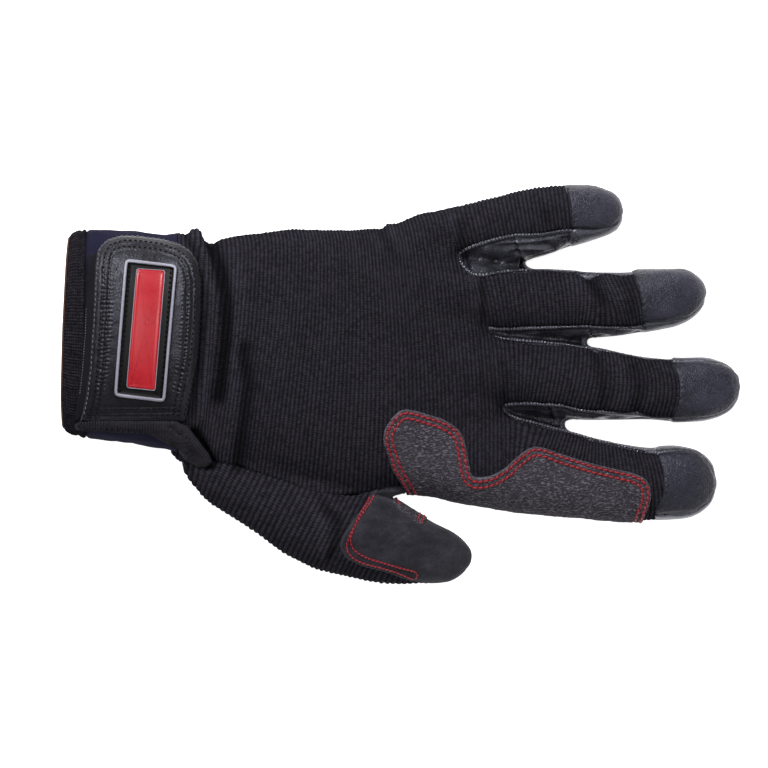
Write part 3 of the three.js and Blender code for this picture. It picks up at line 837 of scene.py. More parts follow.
CREASES = tuple(Crease(*row) for row in (
    (((-69.4, 53), (-68.6, 50), (-65.2, 40.6), (-62.9, 29.6), (-62.9, 19.5), (-63.8, 7.6), (-65.6, -6)),
     -3.0, 2.1),
    (((-56.4, 12), (-55.6, 5), (-54.8, -1), (-56, -11), (-57, -19), (-58.6, -30)), -1.9, 2.4),
    (((-60.4, 8), (-59.6, -4), (-61, -16), (-62.4, -27)), 1.1, 2.3),
    (((-74, 55), (-69.2, 44), (-67.4, 30), (-67.6, 16), (-69, 2), (-71, -12)), 1.7, 2.0),
    (((-78, 55), (-73, 46), (-70.6, 33), (-70.9, 18), (-72.4, 2), (-74.6, -12)), -1.1, 1.2),
    (((-69.6, -15), (-66.4, -24)), 1.2, 2.2),
    (((-74.5, -18.5), (-71.4, -23.4), (-68.6, -29)), -3.4, 1.9),
    (((-58.6, 40), (-58.0, 26), (-59.2, 12)), 0.8, 2.2),
    (((-4.6, 57), (1.8, 47)), 0.8, 1.6),
    (((-7.4, 56), (-2.4, 45)), -0.6, 1.6),
    (((29.4, 37), (30.2, 29), (29.8, 21.5)), -1.0, 1.3),
    (((27, 37), (27.6, 29)), 0.5, 1.6),
    (((21.5, 58), (22.6, 50.4)), -0.8, 1.6),
    (((18.5, 59), (19.6, 50)), 0.5, 1.8),
    (((66.5, 41), (69.4, 36), (73, 29.5)), -1.6, 1.6),
    (((62, 38), (66.5, 29)), 0.8, 2.2),
    (((74, 38.5), (78.5, 30)), 0.7, 2.0),
    (((80, 39), (83, 33), (83, 25)), -0.6, 1.7),
    (((70, 11), (73.5, 1), (72.6, -8)), -0.9, 1.9),
    (((77.5, 10), (80.5, 1), (79.5, -9)), 0.5, 2.0),
    (((84, 6), (86.4, -2), (85, -10)), -0.8, 1.8),
    (((37, 7.5), (38.2, 0), (37.4, -5)), -0.7, 1.6),
    (((52, 62), (54, 58)), -0.6, 2.0),
    (((-27, -44), (-22.8, -50), (-23.2, -57), (-25.5, -63)), -1.4, 1.5),
    (((-31, -46), (-27.2, -53), (-28.2, -61)), 0.7, 1.8),
))


def cloth_lift(points: Array) -> Array:
    """How far the knit's folds, ridges and slow waves lift some points of the form."""
    lift = sum(crease.at(points) for crease in CREASES)
    return lift + 0.45 * cloud(points, 13.0, 3) + 0.16 * cloud(points, 4.5, 4)


def fold_shade(points: Array) -> Array:
    """What the bottom of a fold loses and a ridge gains in light, as a factor on the colour at some points."""
    depth = sum(crease.at(points) for crease in CREASES)
    return np.exp(np.clip(0.55 * depth, -1.6, 0.25))


# The tilt of the ribs against the glove's Y axis in degrees, read along Y at the wrist and at the knuckles.
TILT_AT = (-40, -20, -5, 10, 24, 32, 39, 46, 55, 62)
TILT_WRIST = (-10, -8, -8, -5, 0, 4, 8, 21, 24, 24)
TILT_KNUCKLES = (0, 0, 3, 5, 8, 13, 18, 20, 14, 12)


def sway(start: float, y: Array | float) -> Array:
    """How far a rib that crosses y = 10 at a start has run aside.

    Args:
        start: where it crosses.
        y: where it is wanted.

    Returns:
        The distance along X for each y.
    """
    share = ease(-53.0, 16.0, start)
    size = 0.15 + 0.85 * ease(-82.0, -60.0, start)
    fine = np.linspace(-60.0, 76.0, 273)
    tilt = (1 - share) * np.interp(fine, TILT_AT, TILT_WRIST) + share * np.interp(fine, TILT_AT, TILT_KNUCKLES)
    run = -np.cumsum(np.tan(np.radians(tilt))) * (fine[1] - fine[0])
    return size * (np.interp(y, fine, run) - np.interp(10.0, fine, run))


# ---- cloth of ribs


@dataclass
class RibbedCloth:
    """Cloth laid on the form rib by rib, each rib a row of real bulges with a groove on both sides."""

    pitch: float
    height: float = 0.4
    thick: float = 1.2
    flank_end: float = 4.8
    core: float = 8.0
    rays: int = 84

    def lay(self, form: Form, stations: Array, courses: list[Course], edges: tuple[Course, Course],
            guess: tuple[float, float], ends: tuple[Side, Side], rows: int, tuck: float = 0.0,
            dive: float = 0.7) -> Shell:
        """Casts one line across the cloth for every quarter of a rib and makes a wall of them.

        Args:
            form: what it is laid on.
            stations: the number of each line, four to a rib.
            courses: for each line its place along X at a place along Y.
            edges: the places along Y of the two long edges at a place along X.
            guess: about where they are.
            ends: how they are found on the form.
            rows: the points along each line.
            tuck: the length at the last rib that dives under what overlaps it.
            dive: how deep a long edge that is met from above is turned in.

        Returns:
            The cloth as a closed wall.
        """
        count = len(stations)
        grid = np.empty((count, rows, 3))
        length = np.empty(count)
        for i in range(count):
            reach = [meet(edge, courses[i], y) for edge, y in zip(edges, guess)]
            line = self.line(form, courses[i], reach, ends)
            run = run_along(line)
            length[i] = run[-1]
            grid[i] = take(line, run, np.linspace(0.0, run[-1], rows))
        grid = blur(blur(grid, 2.6, 0), 0.8, 1)
        normals = grid_normals(grid)
        normals *= np.sign(normals[..., 2].mean())
        bulge = np.array([0.0, 0.78, 1.0, 0.78])[stations % 4][:, None]
        rib = np.stack([np.floor(stations / 4), np.zeros(count), np.zeros(count)], 1)
        bulge = bulge * (1.0 + 0.3 * cloud(rib * 1.37, 1.0, 5)[:, None])
        share = np.linspace(0.0, 1.0, rows)[None, :]
        flat = grid.reshape(-1, 3)
        high = ease(7.0, 12.0, grid[..., 2])
        lift = cloth_lift(flat).reshape(count, rows) * high
        lift = lift + 0.12 * cloud(flat * [2.0, 1.0, 1.0], 1.6, 6).reshape(count, rows) * bulge
        # painted shade in the folds and painted light on the ridges, on the upper parts of the form
        shade = 1 + (fold_shade(flat).reshape(count, rows) - 1) * high
        for side, away in zip(ends, (share * length[:, None], (1 - share) * length[:, None])):
            if side is Side.TOP:
                lift = lift - dive * (1 - ease(0.0, 1.4, away))
            else:
                lift = lift - 1.3 * (1 - ease(0.0, 2.8, away))
        along = (stations - stations[0]) * self.pitch / 4
        if tuck:
            lift = lift - 1.4 * (1 - ease(0.0, tuck, along[-1] - along))[:, None]
        grid = grid + normals * (lift + self.height * bulge)[..., None]
        grid[..., 2] = np.maximum(grid[..., 2], 1.5)
        middle = rows // 2
        travel = np.concatenate([np.zeros((count, 1)),
                                 np.cumsum(np.linalg.norm(np.diff(grid, axis=1), axis=2), axis=1)], 1)
        across = np.broadcast_to(stations[:, None] / 4, travel.shape)
        uv = np.stack([across, travel - travel[:, middle:middle + 1]], -1)
        return grid_shell(grid, normals, self.thick, uv, shade)

    def line(self, form: Form, course: Course, reach: list[float], ends: tuple[Side, Side]) -> Array:
        """One line across the cloth, from edge to edge.

        Args:
            form: what it is laid on.
            course: its place along X at a place along Y.
            reach: where it starts and ends along Y.
            ends: how its two ends are found.

        Returns:
            Its points.
        """
        low, high = reach
        room = min(10.0, 0.42 * (high - low))
        starts = (low, math.pi / 2) if ends[0] is Side.TOP else (low + room, math.pi + 0.6)
        stops = (high, math.pi / 2) if ends[1] is Side.TOP else (high - room, -0.6)
        t = np.linspace(0.0, 1.0, self.rays)
        y = starts[0] + (stops[0] - starts[0]) * t
        turn = starts[1] + (stops[1] - starts[1]) * t
        slope = course(y + 0.5) - course(y - 0.5)
        way = np.stack([slope, np.ones(self.rays)], 1) / np.hypot(slope, 1.0)[:, None]
        origins = np.stack([course(y), y, np.full(self.rays, self.core)], 1)
        ways = np.stack([way[:, 0] * np.cos(turn), way[:, 1] * np.cos(turn), np.sin(turn)], 1)
        points = form.cast(origins, ways)
        if ends[0] is Side.FLANK:
            first = int(np.argmax(points[:, 2] > self.flank_end))
            points = points[max(first - 1, 0):]
        if ends[1] is Side.FLANK:
            last = len(points) - int(np.argmax(points[::-1, 2] > self.flank_end))
            points = points[:last + 1]
        return points


def edge_at(path: Path, x: Array | float) -> Array | float:
    """The place along Y of a path that runs along X."""
    return np.interp(x, *np.array(sorted(path)).T)


def meet(path: Course, course: Course, start: float) -> float:
    """Where a line across the cloth meets an edge, found by stepping from one to the other.

    Args:
        path: the edge's place along Y at a place along X.
        course: the line's place along X at a place along Y.
        start: a first guess.

    Returns:
        The place along Y.
    """
    y = start
    for _ in range(6):
        y = 0.5 * y + 0.5 * path(course(y))
    return y


@dataclass
class BackKnit:
    """The knit back of the hand and the four fingers, in one colour and one direction of ribs.

    Its ribs bow across the hand. It is laid in blocks that split at the crotches, each joint on the crest of a
    rib, where it doesn't show.
    """

    cloth: RibbedCloth = field(default_factory=lambda: RibbedCloth(pitch=1.43))
    start: float = -82.5
    crotches: tuple[float, float, float] = (28.1, 32.2, 35.0)

    def crest(self, place: float) -> int:
        """The number of the line on the rib's crest nearest to a place."""
        return 4 * round((place - self.start) / self.cloth.pitch - 0.5) + 2

    def hand_course(self, station: int) -> Course:
        """The course of one line across the hand."""
        place = self.start + station * self.cloth.pitch / 4
        return lambda y: place + sway(place, y)

    def hand(self, form: Form) -> list[Shell]:
        """The back of the hand, and what is left of it between the crotches."""

        def low(x: float) -> float:
            hem = float(np.interp(x, [-84, -82, -80, -77.7, -74], [-24, -26, -29, -30.3, -40]))
            return max(hem, edge_at(THUMB_SEAM, x) + 0.2 if x < -4 else -38.6 if x < 4 else -36.0)

        def outer(x: float) -> float:
            return max(HAND.at(x)[2], LITTLE.at(x)[2] if x > -3 else -99.0)
        first, second, third = (self.crest(c) for c in self.crotches)
        _, ring, middle, _ = FINGERS
        blocks = []
        for begin, end, top, side, rows in ((0, first, outer, Side.FLANK, 76),
                                            (first, second, partial(edge_at, ring.upper), Side.TOP, 56),
                                            (second, third, partial(edge_at, middle.upper), Side.TOP, 40)):
            stations = np.arange(begin, end + 1)
            courses = [self.hand_course(k) for k in stations]
            blocks.append(self.cloth.lay(form, stations, courses, (low, top), (-36.0, 50.0), (Side.TOP, side), rows,
                                         dive=0.35))
        return blocks

    def finger(self, form: Form, finger: Finger, root: int) -> Shell:
        """The knit back of one finger.

        Args:
            form: what it is laid on.
            finger: the finger.
            root: the number of the line where it starts.

        Returns:
            Its cloth.
        """
        step = self.cloth.pitch / 4
        origin = self.start + root * step
        heart = meet(lambda x: (edge_at(finger.lower, x) + edge_at(finger.upper, x)) / 2, self.hand_course(root),
                     20.0)
        shift = sway(origin, heart)
        end = max(p[0] for p in finger.seam) - finger.bow + 1.8
        stations = root + np.arange(int((end - origin - shift) / step) + 1)
        courses = []
        for k in stations:
            place = self.start + k * step
            x = place + shift
            middle = (edge_at(finger.lower, x) + edge_at(finger.upper, x)) / 2
            half = (edge_at(finger.upper, x) - edge_at(finger.lower, x)) / 2
            share = ease(origin, origin + 9.0, place)
            slope = -math.tan(math.radians(np.interp(x, *np.array(finger.lean).T)))
            bow = finger.bow * ease(origin + shift, end, x)
            courses.append(lambda y, x=x, m=middle, h=half, w=share, s=slope, b=bow, o=origin:
                           (1 - w) * (x - shift + sway(o, y)) + w * (x + s * (y - m))
                           + b * (1 - np.clip((y - m) / h, -1, 1) ** 2))

        def lower(x: float) -> float:
            return finger.body.at(x)[1] if finger.inner else edge_at(finger.lower, x)

        def upper(x: float) -> float:
            return finger.body.at(x)[2] if finger.outer else edge_at(finger.upper, x)
        ends = (Side.FLANK if finger.inner else Side.TOP, Side.FLANK if finger.outer else Side.TOP)
        return self.cloth.lay(form, stations, courses, (lower, upper), (heart - 8, heart + 8), ends,
                              26 if finger.inner or finger.outer else 22, tuck=1.5, dive=0.6)

    def build(self, form: Form) -> Shell:
        """The hand and the four fingers as one cloth."""
        roots = [self.crest(c) for c in (*self.crotches, self.crotches[-1])]
        return Shell.join(self.hand(form) + [self.finger(form, *pair) for pair in zip(FINGERS, roots)])


@dataclass
class ThumbKnit:
    """The knit of the thumb, cut as its own panel with wider, slanting ribs."""

    cloth: RibbedCloth = field(default_factory=lambda: RibbedCloth(pitch=1.65))
    slope: float = math.tan(math.radians(27.0))
    start: float = -78.8
    end: float = 14.0

    def build(self, form: Form) -> Shell:
        """The thumb's cloth.

        Args:
            form: what it is laid on.

        Returns:
            The cloth.
        """
        def low(x: float) -> float:
            return THUMB.at(x)[1]

        def high(x: float) -> float:
            return edge_at(THUMB_SEAM, x) + 1.3 if x < -4 else THUMB.at(x)[2] - 2.5
        step = self.cloth.pitch / 4 / math.cos(math.atan(self.slope))
        stations = np.arange(int((self.end - self.start) / step) + 1)
        courses = []
        for k in stations:
            x = self.start + k * step
            middle = (low(x) + min(THUMB.at(x)[2], edge_at(THUMB_SEAM, x))) / 2
            slope = self.slope * ease(-84.0, -62.0, x)
            courses.append(lambda y, x=x, m=middle, s=slope: x + s * (y - m))
        return self.cloth.lay(form, stations, courses, (low, high), (-60.0, -38.0), (Side.FLANK, Side.TOP), 30,
                              dive=1.3)


# ---- panels cut from the form


def edge_roll(distance: Array, low: float, high: float, width: float) -> Array:
    """The height of a turned edge: low at the border, high from a width on."""
    t = np.clip(distance / width, 0.0, 1.0)
    return low + (high - low) * np.sqrt(np.clip(1 - (1 - t) ** 2, 0, 1))


@dataclass
class LeatherPanels:
    """The palm hide with its tips, the leather between the fingers and the four fingertip caps."""

    hide: float = 1.3
    side_floor: float = 5.4
    rim_step: float = 0.22
    rim_sides: int = 8
    gather: float = 1.15

    def tip_outline(self, finger: Finger) -> Array:
        """The outline of a cap in plan."""
        return rounded(finger.seam + finger.tip, 0.7, 2, closed=True)

    def palm_level(self, points: Array) -> Array:
        """Below zero on the palm hide and on its turned-up tips.

        Args:
            points: points on the form.

        Returns:
            The level.
        """
        level = points[:, 2] - PALM_EDGE
        for finger in FINGERS:
            seam = np.array(finger.seam)
            index = np.flatnonzero((points[:, 0] > seam[:, 0].min() - 4) & finger.beside(points))
            seam_x = np.interp(points[index, 1], *np.array(sorted(finger.seam, key=lambda p: p[1])).T[::-1])
            cap = outline_depth(points[index], self.tip_outline(finger))
            beyond = np.maximum(seam_x - points[index, 0], -cap)
            level[index] = np.minimum(level[index], beyond)
        return np.maximum(level, CUFF_END - points[:, 0])

    def palm(self, form: Form) -> Shell:
        """The palm hide, flat on the table and turned up at its edge."""
        skin = form.skin.clip(self.palm_level(form.skin.points)).largest().relax(2)
        away = skin.rim_distance()
        p = skin.points
        waves = 0.25 * cloud(p, 9.0, 11) + 0.12 * cloud(p * [0.5, 1, 1], 3.0, 12)
        lift = edge_roll(away, -0.5, 0.35, 1.4) + waves * ease(1.0, 4.0, p[:, 2])
        return skin.wall(lift, self.hide, floor=0.0)

    def rim(self, form: Form, plan: Array, size: Array, tick: Array) -> Shell:
        """The rolled edge of the leather, gathered by its seam, as a cord along a path.

        Args:
            form: what it lies on.
            plan: its path in plan, evenly spaced.
            size: its radius at each point.
            tick: from 0 to 1, how far a gather stands up at each point; it also sets the gather's painted highlight.

        Returns:
            The cord.
        """
        centre = blur(raise_plan(form, plan, -0.1), 4.0, 0)
        way = unit(np.gradient(centre, axis=0))
        side = unit(np.cross(way, form.normal_at(centre)))
        up = np.cross(side, way)
        spokes = np.arange(self.rim_sides) * 2 * math.pi / self.rim_sides
        radius = size * (0.72 + 0.42 * tick)
        radius[[0, -1]] *= 0.3
        rings = (centre[:, None] + side[:, None] * (radius[:, None] * np.cos(spokes))[..., None]
                 + up[:, None] * (radius[:, None] * np.sin(spokes))[..., None])
        # painted highlight on the gathers' crests, painted shade in the dips between them
        return capped(rings, centre[[0, -1]], np.repeat(0.2 + 1.0 * tick, self.rim_sides))

    def side(self, form: Form, upper: Finger, lower: Finger, seed: int, tab: float) -> Shell:
        """The leather between two fingers, from one knit edge down into the gap and up to the other.

        Args:
            form: what it is cut from.
            upper: the finger on its +Y side.
            lower: the finger on its -Y side.
            seed: which wrinkles.
            tab: where along X a seam crosses it.

        Returns:
            The leather and its rolled edge.
        """
        top = [p for p in upper.lower if p[0] > 19.5 and p[0] < upper.seam[-1][0] - 0.4]
        low = [p for p in lower.upper if p[0] > 19.5 and p[0] < lower.seam[1][0] - 0.4]
        end_up = upper.seam[-1][0] + 1.0
        end_low = max(p[0] for p in lower.seam if p[1] > low[-1][1] - 3) + 1.0
        short = end_low < end_up
        gap_up = upper.body.at(end_up)[1] - (2.0 if short else 1.2)
        gap_low = lower.body.at(end_low)[2] + 1.2 if short else low[-1][1] + 4
        outline = np.array([*top, (end_up, top[-1][1]), (end_up, gap_up), (end_low, gap_low), (end_low, low[-1][1]),
                            *low[::-1]], float)
        skin = form.cut(form.inside(outline, self.side_floor, 0.7))
        p = skin.points
        inner = -outline_depth(p, outline)
        path = resample(rounded(top[::-1] + low, 0.4, 6), self.rim_step)
        run = np.arange(len(path)) * self.rim_step
        root = run[int(np.argmin(path[:, 0]))]
        wide = np.pad(path, ((0, 0), (0, 1)))
        tick = 0.5 + 0.5 * np.cos(2 * math.pi * (run / self.gather + 0.5 * cloud(wide, 4.0, seed)))
        tick = tick * np.clip(0.75 + 0.6 * cloud(wide, 1.6, seed + 3), 0.1, 1.0)
        beside = nearest(wide, p * [1.0, 1.0, 0.0])[0]
        ripple = (tick[beside] - 0.4) * np.exp(-np.maximum(inner, 0.0) / 2.4) * ease(-0.3, 0.5, inner)
        folds = 1 - 2 * np.abs(cloud(p * [0.3, 1.0, 0.8], 2.6, seed + 1))
        dents = cloud(p * [0.7, 1.0, 0.8], 3.0, seed + 2)
        rim, furrow = bell(inner, 0.7, 0.6), bell(inner, 1.9, 0.5)
        deep = ease(1.2, 3.2, inner)
        sunk = -0.7 + 0.7 * rim - 0.3 * furrow - 0.6 * ease(0.4, -0.6, inner)
        along = p[:, 0] - tab + 0.4 * (p[:, 1] - p[:, 1].mean())
        seam = (bell(along, 0.6, 0.75) - 1.1 * bell(along, -0.8, 0.45)) * ease(0.5, 1.5, inner)
        lift = sunk + 0.34 * ripple + (0.42 * folds + 0.3 * dents) * deep + 0.5 * seam
        # painted highlights on the rolled rim, the gathers, the fold crests and the seam's ridge; painted shade in
        # the furrow, the fold valleys, the dents and the seam's groove
        shade = 0.7 + 0.2 * rim - 0.25 * furrow + 0.9 * ripple + (0.4 * folds + 0.5 * dents) * deep + 0.6 * seam
        size = 0.95 - 0.45 * ease(6.0, 40.0, np.abs(run - root))
        middle = path + np.where(run < root, -1.0, 1.0)[:, None] * [0.0, 0.25]
        leather = skin.wall(lift, self.hide, shade=np.clip(shade, 0.1, 1.9))
        return Shell.join([leather, self.rim(form, middle, size, tick)])

    def cap(self, form: Form, finger: Finger, seed: int, tone: float) -> Shell:
        """The leather cap of a fingertip.

        Args:
            form: what it is cut from.
            finger: the finger.
            seed: which dents.
            tone: a factor on its colour.

        Returns:
            The cap.
        """
        others = np.where(finger.beside(form.skin.points), -1.0, 1.0)
        skin = form.cut(np.maximum(form.inside(self.tip_outline(finger), PALM_EDGE), others))
        p = skin.points
        away = skin.rim_distance()
        dents = 0.3 * cloud(p, 8.0, seed) + 0.16 * cloud(p * [0.6, 1, 1], 3.2, seed + 1)
        near = np.exp(-np.abs(p[:, 0] - min(q[0] for q in finger.seam)) / 7.0)
        pebbles = (0.05 + 0.1 * near) * cloud(p, 0.9, seed + 2)
        holes = bell(away, 1.0, 0.4) * (0.5 + 0.5 * np.cos(2 * math.pi * p[:, 1] / 2.0))
        lift = edge_roll(away, -0.45, 0.55, 1.7) + (dents + pebbles) * ease(0.3, 2.0, away) - 0.16 * holes
        # painted shade towards the rim, painted light and shade on the dents, painted highlight specks on the
        # pebbles near the seam, darker at the stitch holes; the cap's tone multiplies it all
        shade = 0.7 + 0.4 * ease(0.5, 7.0, away) + 1.3 * dents + (1.0 + 6.0 * near) * pebbles - 0.35 * holes
        shade = np.clip(tone * shade, 0.1, 1.6)
        return skin.wall(lift, self.hide, shade=shade)


@dataclass
class PatchWork:
    """The grey wear patch on the index finger, the suede of the thumb and the wedge in the crotch."""

    patch_lift: float = 1.45
    suede_lift: float = 1.0

    def grip(self, form: Form) -> Shell:
        """The wear patch, a thick felted knit that stands above the ribs."""
        outline = rounded(WEAR_PATCH, 0.6, 2, closed=True)
        skin = form.cut(form.inside(outline, PALM_EDGE - 0.3))
        away = -outline_depth(skin.points, outline)
        groove = sum(0.22 * bell(away, row, 0.55) for row in (1.3, 3.3))
        lift = edge_roll(away, 0.35, self.patch_lift, 0.9) - groove
        lift = lift + 0.16 * cloud(skin.points, 5.0, 21) + 0.14 * cloud(skin.points * [0.55, 1, 1], 0.9, 22)
        shade = 1.0 + 0.9 * bell(away, 0.15, 0.3)
        return skin.wall(lift, 1.1, shade=shade)

    def suede(self, form: Form) -> Shell:
        """The suede of the thumb's tip."""
        outline = rounded([(-5.6, -37.3), *THUMB_CAP_SEAM, (30, -78), (40, -50), (4, -36)], 0.8, 3, closed=True)
        points = form.skin.points
        low, high = THUMB.at(points[:, 0])[:, 1:3].T
        mine = np.where(points[:, 1] < np.where(points[:, 0] > 2.0, high + 2.5, -38.3), -1.0, 1.0)
        skin = form.cut(np.maximum(form.inside(outline, PALM_EDGE), mine))
        p = skin.points
        away = skin.rim_distance()
        groove = 0.2 * bell(away, 1.5, 0.6)
        lift = edge_roll(away, -0.1, self.suede_lift, 1.1) - groove
        lift = lift + 0.4 * cloud(p, 9.0, 31) + 0.06 * cloud(p, 1.4, 32)
        scuffs = 0.5 * cloud(p * [1.0, 0.7, 1.0], 5.0, 33) + 0.35 * cloud(p * [0.8, 1.4, 1.0], 2.0, 34)
        # painted light that lifts the flank falling into the thumb's crotch, which lies in shade
        crotch = np.exp(-((p[:, 0] + 4) / 6.0) ** 2 - ((p[:, 1] + 41.0) / 2.5) ** 2)
        pale = bell(away, 0.3, 0.4) * ease(-42.0, -56.0, p[:, 1])
        shade = np.clip(1.0 + scuffs + 0.8 * pale + 0.8 * crotch, 0.2, 1.8)
        return skin.wall(lift, 1.2, shade=shade)

    def wedge(self, form: Form) -> Shell:
        """The small grey wedge between thumb and index finger."""
        outline = rounded(CROTCH_PATCH, 0.8, 2, closed=True)
        skin = form.cut(form.inside(outline, PALM_EDGE + 0.5))
        away = skin.rim_distance()
        lift = edge_roll(away, 0.5, 1.5, 0.7) + 0.1 * cloud(skin.points, 1.2, 41)
        return skin.wall(lift, 1.1)


# ---- wrist, strap and badge


# how far the cuff's mouth is drawn back along its width: places along Y, then the distances
MOUTH_BOW = ((-31, -26, -18, -5, 20, 45, 57), (3.2, 1.6, 0.3, 0.0, 0.7, 1.9, 2.8))


def sleeve(loop: Path, around: int, step: float,
           bumps: Course) -> Shell:
    """A closed tube round the wrist whose wall runs through a loop of stations.

    Args:
        loop: for each station its place along X and how far it stands off the hand's sections.
        around: the points round the wrist, evenly spaced.
        step: the distance from ring to ring.
        bumps: the extra height at points.

    Returns:
        The tube's wall.
    """
    dense = np.linspace(0.0, 2 * math.pi, 1441)
    outline = HAND.ring(HAND.at(loop[0][0]), 0.0, dense)
    run = run_along(outline)
    at = np.arange(around) * run[-1] / around
    turns = np.interp(at, run, dense)
    stations = resample(np.array(loop + [loop[0]], float), step)[:-1]
    rings = []
    for x, grow in stations:
        section = HAND.at(x)
        section[0] = x
        ring = HAND.ring(section, grow, turns)
        out = HAND.ring(section, grow + 1.0, turns) - ring
        out[:, 2] = np.where(ring[:, 2] < 2.0, 0.0, out[:, 2])
        rings.append(ring + out * bumps(ring)[:, None])
    grid = np.stack(rings)
    grid[..., 0] += np.interp(grid[..., 1], *MOUTH_BOW) * ease(-112.0, -120.5, grid[..., 0])
    grid[..., 2] = np.maximum(grid[..., 2], 0.05)
    uv = np.stack([np.tile(at / 1.1, len(grid)), np.repeat(stations[:, 0], around)], 1)
    return Shell(grid.reshape(-1, 3), grid_faces(len(grid), around, closed=True, ring=True), uv).turned()


@dataclass
class Wrist:
    """The stretch cuff, its knitted edge and the fleece inside it."""

    ribs: int = 190

    def cuff(self) -> Shell:
        """The neoprene cuff, a little puckered where the strap pulls it."""
        loop = [(-115.6, -1.0), (-113.6, -0.3), (-112.6, 0.0), (-97.8, 0.3), (-85.1, 0.0), (-80.6, -0.3),
                (-80.6, -2.0), (-85.1, -2.0), (-97.8, -2.0), (-115.6, -2.0)]
        return sleeve(loop, 200, 0.8,
                      lambda p: 0.5 * cloud(p, 9.0, 51) + 0.3 * cloud(p * [0.6, 1.0, 1.0], 3.0, 52))

    def edge(self) -> Shell:
        """The knitted edge of the cuff, its short ribs across the band."""
        around = self.ribs * 5

        def bumps(ring: Array) -> Array:
            phase = np.arange(around) * self.ribs / around
            wave = np.abs(np.sin(math.pi * (phase + 0.15 * cloud(ring, 3.0, 55))))
            return 0.26 * wave + 0.4 * cloud(ring, 7.0, 53)
        loop = [(-122.0, -1.0), (-121.9, 0.1), (-121.0, 0.9), (-119.2, 1.3), (-117.6, 1.0), (-116.6, 0.4),
                (-115.8, 0.8), (-114.6, 0.9), (-113.8, 0.2), (-113.7, -2.2), (-118.0, -2.4), (-121.6, -2.2)]
        return sleeve(loop, around, 0.5, bumps)

    def lining(self) -> Shell:
        """The brown fleece inside the cuff."""
        loop = [(-122.6, -0.6), (-122.1, 0.2), (-121.4, -0.6), (-121.2, -2.6), (-112.2, -2.8), (-97.8, -2.4),
                (-83.0, -2.4), (-83.0, -3.4), (-97.8, -3.4), (-112.2, -3.8), (-122.2, -3.9)]
        return sleeve(loop, 160, 0.9, lambda points: 0.25 * cloud(points, 2.0, 54))


def inset_path(outline: Array, distance: float) -> Array:
    """A closed counterclockwise outline moved inwards, its corners kept from crossing.

    Args:
        outline: the outline's points.
        distance: how far it moves; below zero it moves out.

    Returns:
        The new points, as many as before.
    """
    way = unit(np.roll(outline, -1, 0) - np.roll(outline, 1, 0))
    moved = outline + np.stack([-way[:, 1], way[:, 0]], 1) * distance
    for _ in range(int(abs(distance) * 3)):
        moved = (np.roll(moved, 1, 0) + 2 * moved + np.roll(moved, -1, 0)) / 4
    return moved


def raise_plan(form: Form, plan: Array, lift: Array | float) -> Array:
    """Sets points in plan on the form and lifts them off it.

    Args:
        form: what they stand on.
        plan: their places in plan.
        lift: their heights above the form.

    Returns:
        The points.
    """
    lift = np.reshape(lift, (-1, 1))
    foot = plan
    for _ in range(3):
        base = form.drop(foot)
        normal = form.normal_at(base)
        foot = plan - normal[:, :2] * lift
    return base + normal * lift


def plate(form: Form, outline: Array, profile: Path, base: float, step: float = 1.2,
          relief: Course | None = None, tone: float = 0.0) -> Shell:
    """A flat piece that follows the form, with a shaped edge.

    Args:
        form: what it lies on.
        outline: its counterclockwise outline in plan.
        profile: distances from the edge and heights, from the edge inwards.
        base: the height of its underside.
        step: the distance between the rings of its middle.
        relief: the extra height at points in plan.
        tone: how much that height lightens the colour: painted light on the raised relief, painted shade in its low
            parts.

    Returns:
        The closed piece.
    """
    rings = [(inset_path(outline, d), h) for d, h in profile]
    inner, height = rings[-1]
    middle = inner.mean(0)
    count = max(3, int(np.linalg.norm(inner - middle, axis=1).max() / step))
    shrink = [1 - (k + 1) / count for k in range(count - 1)]
    top = rings + [(middle + (inner - middle) * s, height) for s in shrink]
    under = [(inset_path(outline, profile[0][0] + 0.15), base)]
    under += [(middle + (inner - middle) * s, base) for s in [1.0] + shrink[::2]]
    stack = top[::-1] + under
    points, shade = [], []
    for i, (plan, h) in enumerate(stack):
        extra = relief(plan) if relief is not None and i < len(top) else np.zeros(len(plan))
        points.append(raise_plan(form, plan, h + extra))
        # painted light on the raised relief and painted shade in its low parts, as strong as tone says
        shade.append(np.clip(1.0 + tone * extra, 0.1, 1.9))
    return capped(np.stack(points), [points[0].mean(0), points[-1].mean(0)], np.concatenate(shade))


def bead(form: Form, outline: Array, loop: Path) -> Shell:
    """A closed bead round a counterclockwise outline, its section a loop of distances inwards and heights."""
    rings = np.concatenate([raise_plan(form, inset_path(outline, d), h) for d, h in loop])
    return Shell(rings, grid_faces(len(loop), len(outline), closed=True, ring=True)).turned()


# a stitch's slices: place along it, radius and height, as shares of its length and width
STITCH = ((-0.46, 0.55, -0.35), (-0.3, 0.92, -0.02), (-0.08, 1.0, 0.12), (0.14, 1.0, 0.12), (0.32, 0.9, -0.02),
          (0.46, 0.55, -0.35))


